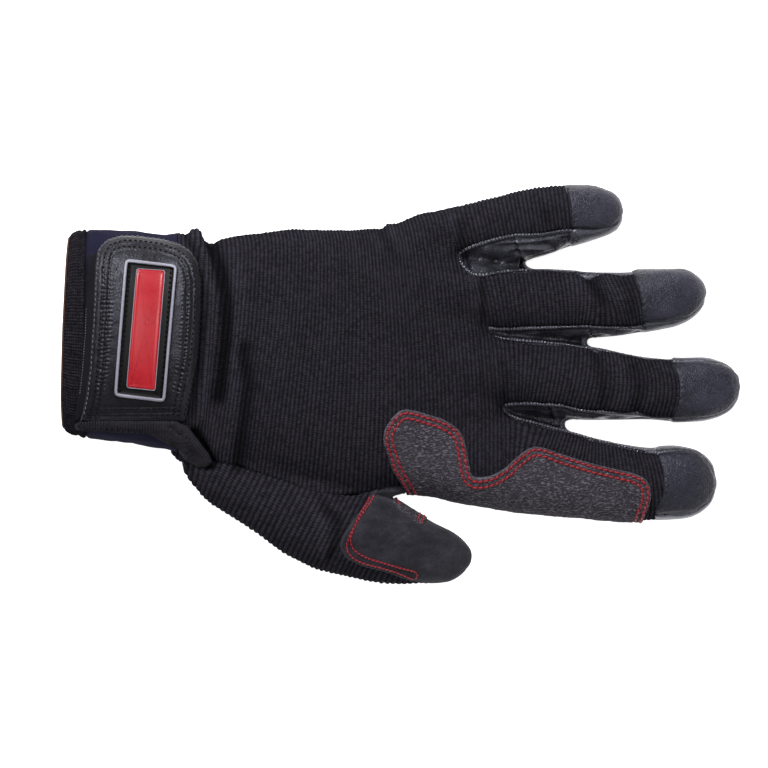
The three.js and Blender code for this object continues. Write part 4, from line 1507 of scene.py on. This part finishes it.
def stitches(path: Array, normals: Array, pitch: float, length: float, width: float, proud: float,
             twist: float = 8.0) -> Shell:
    """A row of sewn stitches, each a small rounded bar of thread.

    Args:
        path: the row's points on the surface.
        normals: the surface's direction at each.
        pitch: the distance from stitch to stitch.
        length: the length of one stitch.
        width: the thread's width.
        proud: how far the thread's middle stands off the path.
        twist: how far each stitch is turned out of the row, in degrees.

    Returns:
        All stitches as one shell.
    """
    run = run_along(path)
    at = np.arange(pitch / 2, run[-1] - length / 3, pitch)
    if not len(at):
        at = np.array([run[-1] / 2])
    centre, normal = take(path, run, at), unit(take(normals, run, at))
    way = take(path, run, at + length / 2) - take(path, run, at - length / 2)
    way = unit(way - normal * np.einsum("ij,ij->i", way, normal)[:, None])
    side = np.cross(normal, way)
    turn = math.radians(twist)
    way, side = way * math.cos(turn) + side * math.sin(turn), side * math.cos(turn) - way * math.sin(turn)
    spokes = np.arange(6) * math.pi / 3
    template = [(-0.5, 0.0, -0.5)]
    for a, r, drop in STITCH:
        template += [(a, 0.5 * r * math.cos(s), 0.5 * r * math.sin(s) + drop) for s in spokes]
    t = np.array(template + [(0.5, 0.0, -0.5)])
    points = (centre[:, None] + way[:, None] * (t[:, 0] * length)[:, None]
              + side[:, None] * (t[:, 1] * width)[:, None]
              + normal[:, None] * (t[:, 2] * width * 0.85 + proud)[:, None])
    one = [[0, 1 + (j + 1) % 6, 1 + j] for j in range(6)]
    for i in range(1, 6 * len(STITCH) - 5, 6):
        one += [[i + j, i + (j + 1) % 6, i + 6 + (j + 1) % 6, i + 6 + j] for j in range(6)]
    end = len(t) - 1
    one += [[end, end - 6 + j, end - 6 + (j + 1) % 6] for j in range(6)]
    faces = [[v + k * len(t) for v in f] for k in range(len(at)) for f in one]
    return Shell(points.reshape(-1, 3), faces).turned()


def surface_tree(piece: Piece) -> BVHTree:
    """A search tree of a finished piece, in millimetres."""
    mesh = piece.data
    points = [tuple(v.co / MM) for v in mesh.vertices]
    return BVHTree.FromPolygons(points, [tuple(p.vertices) for p in mesh.polygons])


def on_piece(tree: BVHTree, form: Form, plan: Array) -> tuple[Array, Array]:
    """Sets a path in plan on a finished piece, met from outside along the form's own direction.

    Args:
        tree: the piece's search tree.
        form: the form under it.
        plan: the path in plan.

    Returns:
        The points on the piece and the form's directions there, evened out.
    """
    base, normals = form.footing(plan)
    out = []
    for p, n in zip(base, normals):
        hit = tree.ray_cast(p + n * 9.0, -n, 12.0)[0]
        out.append(np.array(hit) if hit is not None else p)
    return np.array(out), normals


@dataclass
class Strap:
    """The leather closing strap with its stitch rows and the ribbed elastic along its lower end."""

    base: float = 0.35
    top: float = 2.5
    edge_row: float = 1.1
    inner_rows: tuple[float, float] = (3.3, 5.3)
    pucker: float = 1.45

    def outline(self) -> Array:
        """The strap's rounded outline in plan."""
        return rounded(STRAP, 0.42, 6, closed=True)

    def relief(self, plan: Array) -> Array:
        """Soft dents of the leather, the furrows of the stitch rows and the puckers between them."""
        p = np.pad(plan, ((0, 0), (0, 1)))
        outline = self.outline()
        inner = -outline_depth(plan, outline)
        gap = ((plan[:, None] - outline[None]) ** 2).sum(2)
        run = np.argmin(gap, axis=1) * 0.42
        furrow = sum(0.3 * bell(inner, row, 0.5) for row in (self.edge_row, *self.inner_rows))
        low, high = self.inner_rows
        band = bell(inner, (low + high) / 2, 0.8) + 0.6 * bell(inner, high + 1.2, 0.9)
        strength = ease(50.0, 28.0, plan[:, 1]) * ease(-9.0, -2.0, plan[:, 1])
        wave = np.abs(np.sin(math.pi * (run / self.pucker + 0.4 * cloud(p, 3.0, 63)))) - 0.5
        return 0.25 * cloud(p, 9.0, 61) + 0.1 * cloud(p, 2.6, 62) - furrow + 0.9 * wave * band * strength

    def body(self, form: Form) -> Shell:
        """The strap itself."""
        profile = [(0.0, 0.9), (0.12, 1.6), (0.4, 2.15), (0.8, 2.4)]
        profile += [(1.2 + 0.42 * k, self.top) for k in range(15)]
        # with tone 0.9 the relief paints highlights on the puckers and shade in the stitch furrows and dents
        return plate(form, self.outline(), profile, self.base, 1.0, self.relief, 0.9)

    def under(self, form: Form) -> Shell:
        """The webbing that shows under the strap's left edge."""
        profile = [(0.0, 0.6), (0.15, 1.2), (0.5, 1.5), (0.9, 1.55)]
        outline = rounded(STRAP_UNDER, 0.6, 2, closed=True)
        return plate(form, outline, profile, 0.3, 1.2)

    def tape_thread(self, form: Form, tape: Piece) -> Shell:
        """The fine pale row along the webbing's outer edge."""
        row = resample(np.array([(-112.9, 27.0), (-113.2, 18.5), (-114.2, 5.0), (-115.2, -4.0)]), 0.4)
        return stitches(*on_piece(surface_tree(tape), form, row), 0.95, 0.6, 0.35, 0.05)

    def elastic(self, form: Form) -> Shell:
        """The ribbed elastic roll along the strap's lower end."""
        def ribs(plan: Array) -> Array:
            bent = ease(-84.0, -76.0, plan[:, 0])
            along = plan[:, 0] * (1 - 0.3 * bent) - plan[:, 1] * 0.8 * bent
            return 0.5 * np.abs(np.sin(math.pi * along / 1.0)) - 0.25
        outline = rounded(STRAP_BAND, 0.28, 6, closed=True)
        profile = [(0.0, 0.3), (0.12, 0.9), (0.45, 1.6), (0.9, 2.05), (1.4, 2.35), (1.9, 2.5), (2.6, 2.4),
                   (3.3, 2.2)]
        # with tone 2.0 the ribs paint shade in their grooves and light on their crests
        return plate(form, outline, profile, 0.3, 0.7, ribs, 2.0)

    def threads(self, form: Form, tree: BVHTree) -> tuple[Shell, Shell]:
        """The pale row along the strap's left edge and top, and the dark rows.

        Args:
            form: the form under the strap.
            tree: the strap's search tree.

        Returns:
            The pale thread and the dark one.
        """
        loops = []
        for inset in (self.edge_row, *self.inner_rows):
            loop = inset_path(self.outline(), inset)
            start = int(np.argmin(np.hypot(loop[:, 0] + 79.0, loop[:, 1] + 11.5)))
            loop = np.roll(loop, -start, 0)
            loops.append(resample(loop[loop[:, 1] > -11.5], 0.6))
        edge = loops[0]
        turn = int(np.argmax(edge[:, 1] > 46.0))
        pale, dark = ([stitches(*on_piece(tree, form, plan), 1.9, 1.3, 0.5, 0.1) for plan in rows]
                      for rows in ([edge[turn:]], [edge[:turn + 1], *loops[1:]]))
        return Shell.join(pale), Shell.join(dark)


@dataclass
class Badge:
    """The moulded badge: a black base, a raised silver rim, a stitched groove and a plain red field."""

    floor: float = 2.75
    rim_top: float = 5.2

    def outline(self) -> Array:
        """The badge's rounded outline in plan."""
        return rounded(BADGE, 0.5, 16, closed=True)

    def base(self, form: Form) -> Shell:
        """The black moulded base with its sunken groove."""
        profile = [(0.0, 3.3), (0.2, 4.1), (0.6, 4.3), (1.3, 4.2), (1.6, 3.8), (2.0, 3.65), (3.1, 3.65),
                   (4.4, 3.65)]
        return plate(form, self.outline(), profile, self.floor, 1.1)

    def rim(self, form: Form) -> Shell:
        """The raised silver rim."""
        loop = [(0.3, 4.1), (0.15, 4.6), (0.25, 5.0), (0.55, self.rim_top), (0.85, self.rim_top), (1.15, 5.0),
                (1.25, 4.6), (1.2, 4.1)]
        return bead(form, self.outline(), loop)

    def field(self, form: Form) -> Shell:
        """The red field, bare."""
        outline = rounded(BADGE_FIELD, 0.5, 2, closed=True)
        profile = [(0.0, 3.9), (0.12, 4.2), (0.4, 4.35), (0.9, 4.35), (1.1, 4.3), (1.6, 4.3)]
        return plate(form, outline, profile, 3.5, 1.1)

    def frame(self, form: Form) -> Shell:
        """The thin pale line round the red field."""
        outline = rounded(BADGE_FIELD, 0.5, 2, closed=True)
        loop = [(-0.2, 3.6), (-0.2, 4.2), (-0.06, 4.34), (0.08, 4.2), (0.08, 3.6)]
        return bead(form, outline, loop)

    def thread(self, form: Form) -> Shell:
        """The dark stitches in the groove."""
        loop = inset_path(self.outline(), 2.2)
        loop = np.vstack([loop, loop[:1]])
        base, normals = form.footing(resample(loop, 0.6))
        return stitches(base + normals * 3.65, normals, 1.8, 1.35, 0.65, 0.15)


# the two red rows on the thumb's suede
THUMB_ROWS: tuple[Path, Path] = (
    [(-9.9, -39.9), (-10.6, -42.3), (-12.6, -45.2), (-15.4, -49.2), (-17.9, -53.6), (-19.6, -57.6), (-19.2, -60.7),
     (-16.6, -63.2), (-13, -64.7), (-7.6, -65.9), (-1.5, -67.6), (4.2, -69.9)],
    [(-11.0, -39.7), (-11.7, -42.0), (-13.5, -45.0), (-14.9, -47.4), (-16.6, -51.0), (-18.0, -54.7), (-18.3, -57.0),
     (-17.4, -59.4), (-15.0, -61.3), (-11.2, -63.0), (-4.7, -64.8), (0.3, -66.2), (5.0, -67.3), (5.9, -68.4),
     (5.4, -69.5), (4.2, -69.9)])


@dataclass
class RedThread:
    """The twisted red double rows on the wear patch, the thumb's suede and the wedge."""

    pitch: float = 2.1
    length: float = 2.3
    width: float = 0.95
    fine: float = 0.7

    def row(self, form: Form, tree: BVHTree, plan: Array, size: float = 1.0) -> Shell:
        """One row along a path in plan, its stitches scaled by a size."""
        sizes = (self.pitch * size, self.length * size, self.width * size)
        return stitches(*on_piece(tree, form, resample(plan, 0.6)), *sizes, 0.1, 14.0)

    def patch(self, form: Form, piece: Piece) -> Shell:
        """Two rows inside the edge of the wear patch."""
        tree = surface_tree(piece)
        edge = rounded([(6.0, -45.0), *WEAR_PATCH[:-2], (86.6, -53.0)], 0.5, 2)
        way = unit(np.gradient(edge, axis=0))
        rows = []
        for inset in (1.2, 3.1):
            row = edge + np.stack([way[:, 1], -way[:, 0]], 1) * inset
            row = row[path_distance(row, edge) > inset - 0.12]
            floor = np.interp(row[:, 0], [10, 60, 90], [-38.7, -48.0, -49.6])
            rows.append(self.row(form, tree, blur(resample(row[row[:, 1] > floor], 0.5), 1.2, 0)))
        return Shell.join(rows)

    def thumb(self, form: Form, piece: Piece) -> Shell:
        """Two rows along the suede's edge that meet in a rounded end."""
        tree = surface_tree(piece)
        plans = (rounded(THUMB_ROWS[0], 0.6, 3), rounded(THUMB_ROWS[1], 0.6, 2))
        return Shell.join([self.row(form, tree, p, self.fine) for p in plans])

    def wedge(self, form: Form, piece: Piece) -> Shell:
        """The short rows at both ends of the wedge."""
        tree = surface_tree(piece)
        rows = [[(-2.6, -42.6), (-1.2, -44.9)], [(6.2, -48.0), (5.0, -50.6)], [(7.7, -49.0), (6.6, -51.4)]]
        shells = [self.row(form, tree, np.array(row, float), self.fine) for row in rows]
        return Shell.join(shells)


# ---- finishes


def linear(code: str) -> tuple[float, float, float, float]:
    """Turns an sRGB hex colour into linear numbers for a socket."""
    values = [int(code[i:i + 2], 16) / 255 for i in (0, 2, 4)]
    r, g, b = (v / 12.92 if v <= 0.04045 else ((v + 0.055) / 1.055) ** 2.4 for v in values)
    return r, g, b, 1.0


def wire(tree: NodeTree, node: Node, values: dict) -> Node:
    """Sets a node's properties and sockets.

    Args:
        tree: the tree it is in.
        node: the node.
        values: by the name of a property or the name or number of a socket, a value, or the node or the
            output that feeds the socket.

    Returns:
        The node.
    """
    for key, value in values.items():
        if isinstance(value, (Node, Socket)):
            tree.links.new(value if isinstance(value, Socket) else value.outputs[0], node.inputs[key])
        elif isinstance(key, int) or key in node.inputs:
            node.inputs[key].default_value = value
        else:
            setattr(node, key, value)
    return node


def add_node(tree: NodeTree, kind: str, values: dict | None = None) -> Node:
    """Adds a node of a kind to a tree and wires it."""
    return wire(tree, tree.nodes.new(f"ShaderNode{kind}"), values or {})


@dataclass(frozen=True)
class Finish:
    """What every finish has: two colours, a roughness and the depth of its texture in millimetres."""

    name: str
    # deep is the colour in the texture's hollows and high on its crests; where the texture is relief, the dark
    # hollows are painted shade and the light crests painted highlight
    deep: str
    high: str
    rough: float
    depth: float
    specular: float = 0.5
    sheen: float = 0.0
    tint: str = "ffffff"
    tinge: str = ""
    mottled: float = 0.7

    def place(self, tree: NodeTree, scale: tuple[float, float, float] = (1, 1, 1)) -> Node:
        """The point on the piece in millimetres, stretched by a scale."""
        spot = add_node(tree, "TexCoord").outputs["Object"]
        return add_node(tree, "Mapping", {"Scale": tuple(s / MM for s in scale), "Vector": spot})

    def texture(self, tree: NodeTree) -> Node:
        """The height of the texture from 0 to 1; each finish has its own."""
        return add_node(tree, "TexNoise", {"Scale": 1.0, "Detail": 4.0, "Vector": self.place(tree)})

    def make(self) -> Material:
        """Builds the material.

        Returns:
            The material.
        """
        material = bpy.data.materials.new(self.name)
        material.use_nodes = True
        tree = material.node_tree
        add, where = partial(add_node, tree), self.place(tree)
        height = self.texture(tree)
        mottle = add("TexNoise", {"Scale": 0.11, "Detail": 5.0, "Roughness": 0.6, "Vector": where})
        # the texture's height plus random mottling sets the colour: on relief textures this is painted shade in the
        # hollows and painted highlight on the crests
        relief_shade_and_mottle = add("Math", {"operation": "MULTIPLY_ADD", 0: mottle, 1: self.mottled, 2: height})
        shift = add("Math", {"operation": "SUBTRACT", "use_clamp": True, 0: relief_shade_and_mottle, 1: self.mottled / 2})
        # the shade attribute of the pieces multiplies in their painted light and shade, and some pieces' own tone
        light = add("Attribute", {"attribute_name": "shade"}).outputs["Fac"]
        lit = add("Math", {"operation": "MULTIPLY", 0: shift, 1: light})
        drift = add("TexNoise", {"Scale": 0.23, "Detail": 2.0, "Vector": where})
        hue = add("Mix", {"data_type": "RGBA", 0: drift, 6: linear(self.high), 7: linear(self.tinge or self.high)})
        colour = add("Mix", {"data_type": "RGBA", 0: lit, 6: linear(self.deep), 7: hue.outputs[2]})
        rough = add("MapRange", {"From Min": 0.25, "From Max": 0.75, "To Min": self.rough - 0.06,
                                 "To Max": self.rough + 0.06, "Value": mottle})
        bump = add("Bump", {"Strength": 1.0, "Distance": self.depth * MM, "Height": height})
        tint = linear(self.tint)
        wire(tree, tree.nodes["Principled BSDF"],
             {"Base Color": colour.outputs[2], "Roughness": rough, "Normal": bump, "Specular Tint": tint,
              "Specular IOR Level": self.specular, "Sheen Weight": self.sheen, "Sheen Roughness": 0.5,
              "Sheen Tint": tint})
        return material


@dataclass(frozen=True)
class RibKnit(Finish):
    """Polyester rib knit: the eye sees rows of small V-shaped stitches on every rib."""

    course: float = 0.9

    def texture(self, tree: NodeTree) -> Node:
        """A V-shaped stitch for every course along every rib, unevenly light, with a little fuzz; the grooves
        between the ribs and the stitches take painted shade.

        Args:
            tree: the finish's tree.

        Returns:
            The height.
        """
        add, where = partial(add_node, tree), self.place(tree)
        parts = add("SeparateXYZ", {0: add("TexCoord").outputs["UV"]})
        across, along = parts.outputs[0], parts.outputs[1]
        part = add("Math", {"operation": "FRACT", 0: across})
        wide = add("Math", {"operation": "MULTIPLY_ADD", 0: part, 1: 2.0, 2: -1.0})
        side = add("Math", {"operation": "ABSOLUTE", 0: wide})
        wobble = add("TexNoise", {"Scale": 0.5, "Detail": 1.0, "Vector": where})
        slope = add("Math", {"operation": "MULTIPLY_ADD", 0: side, 1: 0.3, 2: wobble})
        count = add("Math", {"operation": "MULTIPLY_ADD", 0: along, 1: 1.0 / self.course, 2: slope})
        turn = add("Math", {"operation": "MULTIPLY", 0: count, 1: 2 * math.pi})
        wave = add("Math", {"operation": "COSINE", 0: turn})
        loop = add("Math", {"operation": "MULTIPLY_ADD", 0: wave, 1: 0.27, 2: 0.73})
        # the colour falls off towards each rib's sides: painted shade in the grooves between the ribs
        fall = add("Math", {"operation": "POWER", 0: side, 1: 1.4})
        crest = add("Math", {"operation": "MULTIPLY_ADD", 0: fall, 1: -0.82, 2: 1.0})
        knit = add("Math", {"operation": "MULTIPLY", 0: loop, 1: crest})
        stitch, rib = (add("Math", {"operation": "FLOOR", 0: source}) for source in (count, across))
        luck = add("TexWhiteNoise", {"noise_dimensions": "2D", "Vector": add("CombineXYZ", {0: rib, 1: stitch})})
        yarn = add("MapRange", {"To Min": 0.72, "To Max": 1.28, "Value": luck})
        bead = add("Math", {"operation": "MULTIPLY", 0: knit, 1: yarn})
        patchy = add("TexNoise", {"Scale": 0.9, "Detail": 3.0, "Roughness": 0.7, "Vector": where})
        uneven = add("MapRange", {"From Min": 0.3, "From Max": 0.7, "To Min": 0.45, "To Max": 1.5, "Value": patchy})
        return add("Math", {"operation": "MULTIPLY", 0: bead, 1: uneven})


@dataclass(frozen=True)
class Hide(Finish):
    """Grained goat leather: small pebbles with creases between them, painted shade in the creases, painted highlight
    on the crests.
    """

    grain: float = 0.7

    def texture(self, tree: NodeTree) -> Node:
        """Pebbles of the grain's size with fine wrinkles over them."""
        add, where = partial(add_node, tree), self.place(tree)
        cell = add("TexVoronoi", {"feature": "DISTANCE_TO_EDGE", "Scale": 1.0 / self.grain, "Vector": where})
        pebble = add("MapRange", {"interpolation_type": "SMOOTHSTEP", "From Max": 0.32, "Value": cell})
        fine = add("TexNoise", {"Scale": 0.55, "Detail": 5.0, "Distortion": 0.6, "Vector": where})
        return add("Math", {"operation": "MULTIPLY_ADD", 0: pebble, 1: 0.55, 2: fine})


@dataclass(frozen=True)
class Felt(Finish):
    """Felted melange knit of grey and near-white yarn: pale flecks drawn out along the finger."""

    stretch: tuple[float, float, float] = (0.8, 2.2, 2.2)

    def texture(self, tree: NodeTree) -> Node:
        """Drawn-out flecks with a fine nap."""
        add = partial(add_node, tree)
        fleck = add("TexNoise", {"Scale": 1.0, "Detail": 3.0, "Roughness": 0.7, "Distortion": 0.4,
                                 "Vector": self.place(tree, self.stretch)})
        sharp = add("MapRange", {"From Min": 0.5, "From Max": 0.64, "Value": fleck})
        nap = add("TexNoise", {"Scale": 4.0, "Detail": 2.0, "Vector": self.place(tree)})
        return add("Math", {"operation": "MULTIPLY_ADD", 0: nap, 1: 0.3, 2: sharp})


@dataclass(frozen=True)
class Nap(Finish):
    """A brushed or moulded surface with one fine even texture: suede, fleece, neoprene jersey or rubber."""

    size: float = 0.5

    def texture(self, tree: NodeTree) -> Node:
        """Fine even noise of the given size."""
        return add_node(tree, "TexNoise", {"Scale": 1.0 / self.size, "Detail": 4.0, "Roughness": 0.65,
                                           "Vector": self.place(tree)})


@dataclass(frozen=True)
class Ply(Finish):
    """Sewing thread of two twisted plies: slanting bands along every stitch."""

    def texture(self, tree: NodeTree) -> Node:
        """Bands across the thread about half a millimetre apart: painted highlight on the plies, painted shade
        between them.
        """
        return add_node(tree, "TexWave", {"Scale": 0.6, "Distortion": 1.0, "wave_profile": "SIN",
                                          "Vector": self.place(tree)})


class Dress(Enum):
    """Every finish of the glove."""

    KNIT = RibKnit("rib_knit_polyester", "08080a", "302e33", 0.95, 0.2, specular=0.0, tinge="2b2932", mottled=0.25)
    THUMB_KNIT = RibKnit("rib_knit_polyester_wide", "08080a", "302e33", 0.95, 0.2, specular=0.0, course=1.0,
                         tinge="2b2932", mottled=0.25)
    EDGE_KNIT = RibKnit("rib_knit_edge", "060607", "27252a", 0.95, 0.15, specular=0.0, mottled=0.3)
    LEATHER = Hide("goat_leather_black", "060608", "3c3c44", 0.28, 0.12, specular=0.7, tint="ececff")
    CAP = Hide("goat_leather_fingertip", "0a0a0f", "2b2a35", 0.43, 0.17, specular=0.3, grain=0.85, tint="ececff")
    STRAP = Hide("grained_leather_strap", "040405", "121115", 0.42, 0.09, specular=0.27, grain=1.1, tint="ececff")
    SUEDE = Nap("microfibre_suede", "100f14", "34333a", 0.9, 0.06, specular=0.05, sheen=0.05, size=0.8)
    MELANGE = Felt("felted_melange_knit", "121014", "6a6670", 0.92, 0.2, specular=0.03, mottled=0.2)
    NEOPRENE = Nap("neoprene_jersey_navy", "10101a", "1f1e31", 0.95, 0.08, specular=0.03, size=0.4)
    FLEECE = Nap("fleece_brown", "1c1310", "54382a", 0.95, 0.3, specular=0.05, sheen=0.1, size=0.9)
    ELASTIC = Nap("elastic_webbing", "0a0a0b", "302e33", 0.9, 0.1, specular=0.03, size=0.5)
    WEBBING = Nap("woven_nylon_tape", "050506", "1d1c21", 0.85, 0.1, specular=0.05, size=0.6)
    RUBBER = Nap("moulded_rubber_black", "030304", "08080b", 0.5, 0.02, specular=0.14, size=0.6)
    SILVER = Nap("silver_painted_rubber", "6a6976", "84838f", 0.35, 0.015, specular=0.4, size=0.8)
    RED = Nap("gloss_red_rubber", "800c16", "a01622", 0.3, 0.01, specular=0.3, size=1.2)
    RED_THREAD = Ply("polyester_thread_red", "52060d", "8c1320", 0.45, 0.05, specular=0.35)
    PALE_THREAD = Ply("polyester_thread_grey", "2e2d33", "57565e", 0.5, 0.05, specular=0.3)
    DARK_THREAD = Ply("polyester_thread_black", "020203", "09090b", 0.6, 0.05, specular=0.1)


# ---- studio


@dataclass
class Studio:
    """The floor, the soft lights and a camera straight above the glove."""

    width: float = 0.2771
    middle: tuple[float, float] = (-0.00613, -0.00018)
    height: float = 5.0
    level: float = 0.014
    floor_reach: float = 12.0
    floor_drop: float = 0.0003
    emission: float = 0.85
    sky: float = 0.3

    def build(self) -> None:
        """Makes the camera, the floor and the lights."""
        scene = bpy.context.scene
        scene.view_settings.view_transform = "Standard"
        camera = bpy.data.cameras.new("camera")
        camera.sensor_width = 36.0
        camera.lens = 36.0 * (self.height - self.level) / self.width
        camera.clip_end = 40.0
        scene.camera = link_object("camera", camera)
        scene.camera.location = (*self.middle, self.height)
        mesh = bpy.data.meshes.new("floor")
        reach, drop = self.floor_reach, self.floor_drop
        corners = ((-1, -1), (1, -1), (1, 1), (-1, 1))
        mesh.from_pydata([(x * reach, y * reach, -drop) for x, y in corners], [], [(0, 1, 2, 3)])
        paper = bpy.data.materials.new("matt_white_paper")
        paper.use_nodes = True
        tree = paper.node_tree
        tone = add_node(tree, "Mix", {"data_type": "RGBA", 0: add_node(tree, "TexNoise", {"Scale": 400.0}),
                                      6: linear("f7f7f7"), 7: linear("fbfbfb")})
        wire(tree, tree.nodes["Principled BSDF"],
             {"Base Color": tone.outputs[2], "Roughness": 0.9, "Specular IOR Level": 0.1,
              "Emission Color": linear("ffffff"), "Emission Strength": self.emission})
        mesh.materials.append(paper)
        floor = link_object("floor", mesh)
        for name, place, size, power in (("key", (-0.3, 0.8, 0.9), 0.45, 21.0), ("fill", (0.7, -0.6, 0.9), 0.6, 3.0),
                                         ("top", (-0.2, 0.2, 1.4), 0.5, 6.0)):
            lamp = bpy.data.lights.new(name, "AREA")
            lamp.size, lamp.energy = size, power
            obj = link_object(name, lamp)
            obj.location = place
            obj.rotation_mode = "QUATERNION"
            obj.rotation_quaternion = (-Vector(place)).to_track_quat("-Z", "Y")
        world = bpy.data.worlds.new("studio")
        scene.world = world
        world.use_nodes = True
        tree = world.node_tree
        wire(tree, tree.nodes["Background"], {"Color": linear("ffffff"), "Strength": self.sky})


@dataclass
class Glove:
    """Makes the pieces, each in its finish, riding on the glove's one body."""

    dress: dict[str, Material]

    def add(self, name: str, shell: Shell, finish: str, slot: str, *nodes: str) -> Piece:
        """Makes a piece from a shell.

        Args:
            name: the piece's name.
            shell: its points and faces.
            finish: the name of its finish.
            slot: the record's material slot; not used.
            nodes: the solids that it stands for.

        Returns:
            The piece.
        """
        piece = make_object(name, shell, self.dress[finish])
        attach(piece, "root")
        if nodes:
            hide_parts(*nodes)
        LOG.info("%s: %d faces", name, len(piece.data.polygons))
        return piece


def main() -> None:
    """Builds the glove piece by piece, then the studio."""
    add = Glove({name: item.value.make() for name, item in Dress.__members__.items()}).add
    form, plain = Form().build(), Form(voxel=1.5, rounds=4)
    add("knitted_back", BackKnit().build(form), "KNIT", "knit", "back_knit")
    add("knitted_thumb", ThumbKnit().build(form), "THUMB_KNIT", "knit", "thumb_knit")
    panels = LeatherPanels()
    add("palm_hide", panels.palm(plain.build()), "LEATHER", "leather", "palm_leather")
    little, ring, middle, index = FINGERS
    for name, upper, lower, seed, tab in (("little_ring", little, ring, 71, 44.0),
                                          ("ring_middle", ring, middle, 74, 70.0),
                                          ("middle_index", middle, index, 77, 56.0)):
        add(f"side_{name}", panels.side(form, upper, lower, seed, tab), "LEATHER", "leather", f"fourchette_{name}")
    # the caps' tones make them darker step by step from the little finger to the index finger
    for finger, seed, tone in zip(FINGERS, (81, 84, 87, 90), (1.0, 0.88, 0.8, 0.68)):
        add(f"fingertip_{finger.name}", panels.cap(form, finger, seed, tone), "CAP", "cap_leather",
            f"cap_{finger.name}")
    work, wrist, strap, badge, thread = PatchWork(), Wrist(), Strap(), Badge(), RedThread()
    grip = add("grip_patch", work.grip(form), "MELANGE", "melange", "index_patch")
    suede = add("thumb_suede", work.suede(form), "SUEDE", "suede", "thumb_cap")
    wedge = add("crotch_wedge", work.wedge(form), "MELANGE", "melange", "thumb_crotch_patch")
    add("neoprene_cuff", wrist.cuff(), "NEOPRENE", "neoprene", "cuff")
    add("knitted_edge", wrist.edge(), "EDGE_KNIT", "binding", "cuff_binding")
    add("fleece_lining", wrist.lining(), "FLEECE", "lining", "cuff_lining")
    body = add("closing_strap", strap.body(form), "STRAP", "strap", "wrist_strap")
    add("elastic_edge", strap.elastic(form), "ELASTIC", "elastic", "strap_band")
    tape = add("strap_webbing", strap.under(form), "WEBBING", "elastic")
    add("webbing_thread", strap.tape_thread(form, tape), "PALE_THREAD", "elastic")
    for tone, row in zip(("pale", "dark"), strap.threads(form, surface_tree(body))):
        add(f"strap_thread_{tone}", row, f"{tone.upper()}_THREAD", "strap")
    add("moulded_badge", badge.base(form), "RUBBER", "badge_rubber", "badge")
    add("badge_rim", badge.rim(form), "SILVER", "badge_rubber")
    add("badge_field_red", badge.field(form), "RED", "badge_red", "badge_field")
    add("badge_line", badge.frame(form), "SILVER", "badge_rubber")
    add("badge_thread", badge.thread(form), "DARK_THREAD", "badge_rubber")
    add("patch_thread", thread.patch(form, grip), "RED_THREAD", "melange")
    add("thumb_thread", thread.thumb(form, suede), "RED_THREAD", "suede")
    add("wedge_thread", thread.wedge(form, wedge), "RED_THREAD", "melange")
    Studio().build()


if __name__ == "__main__":
    main()
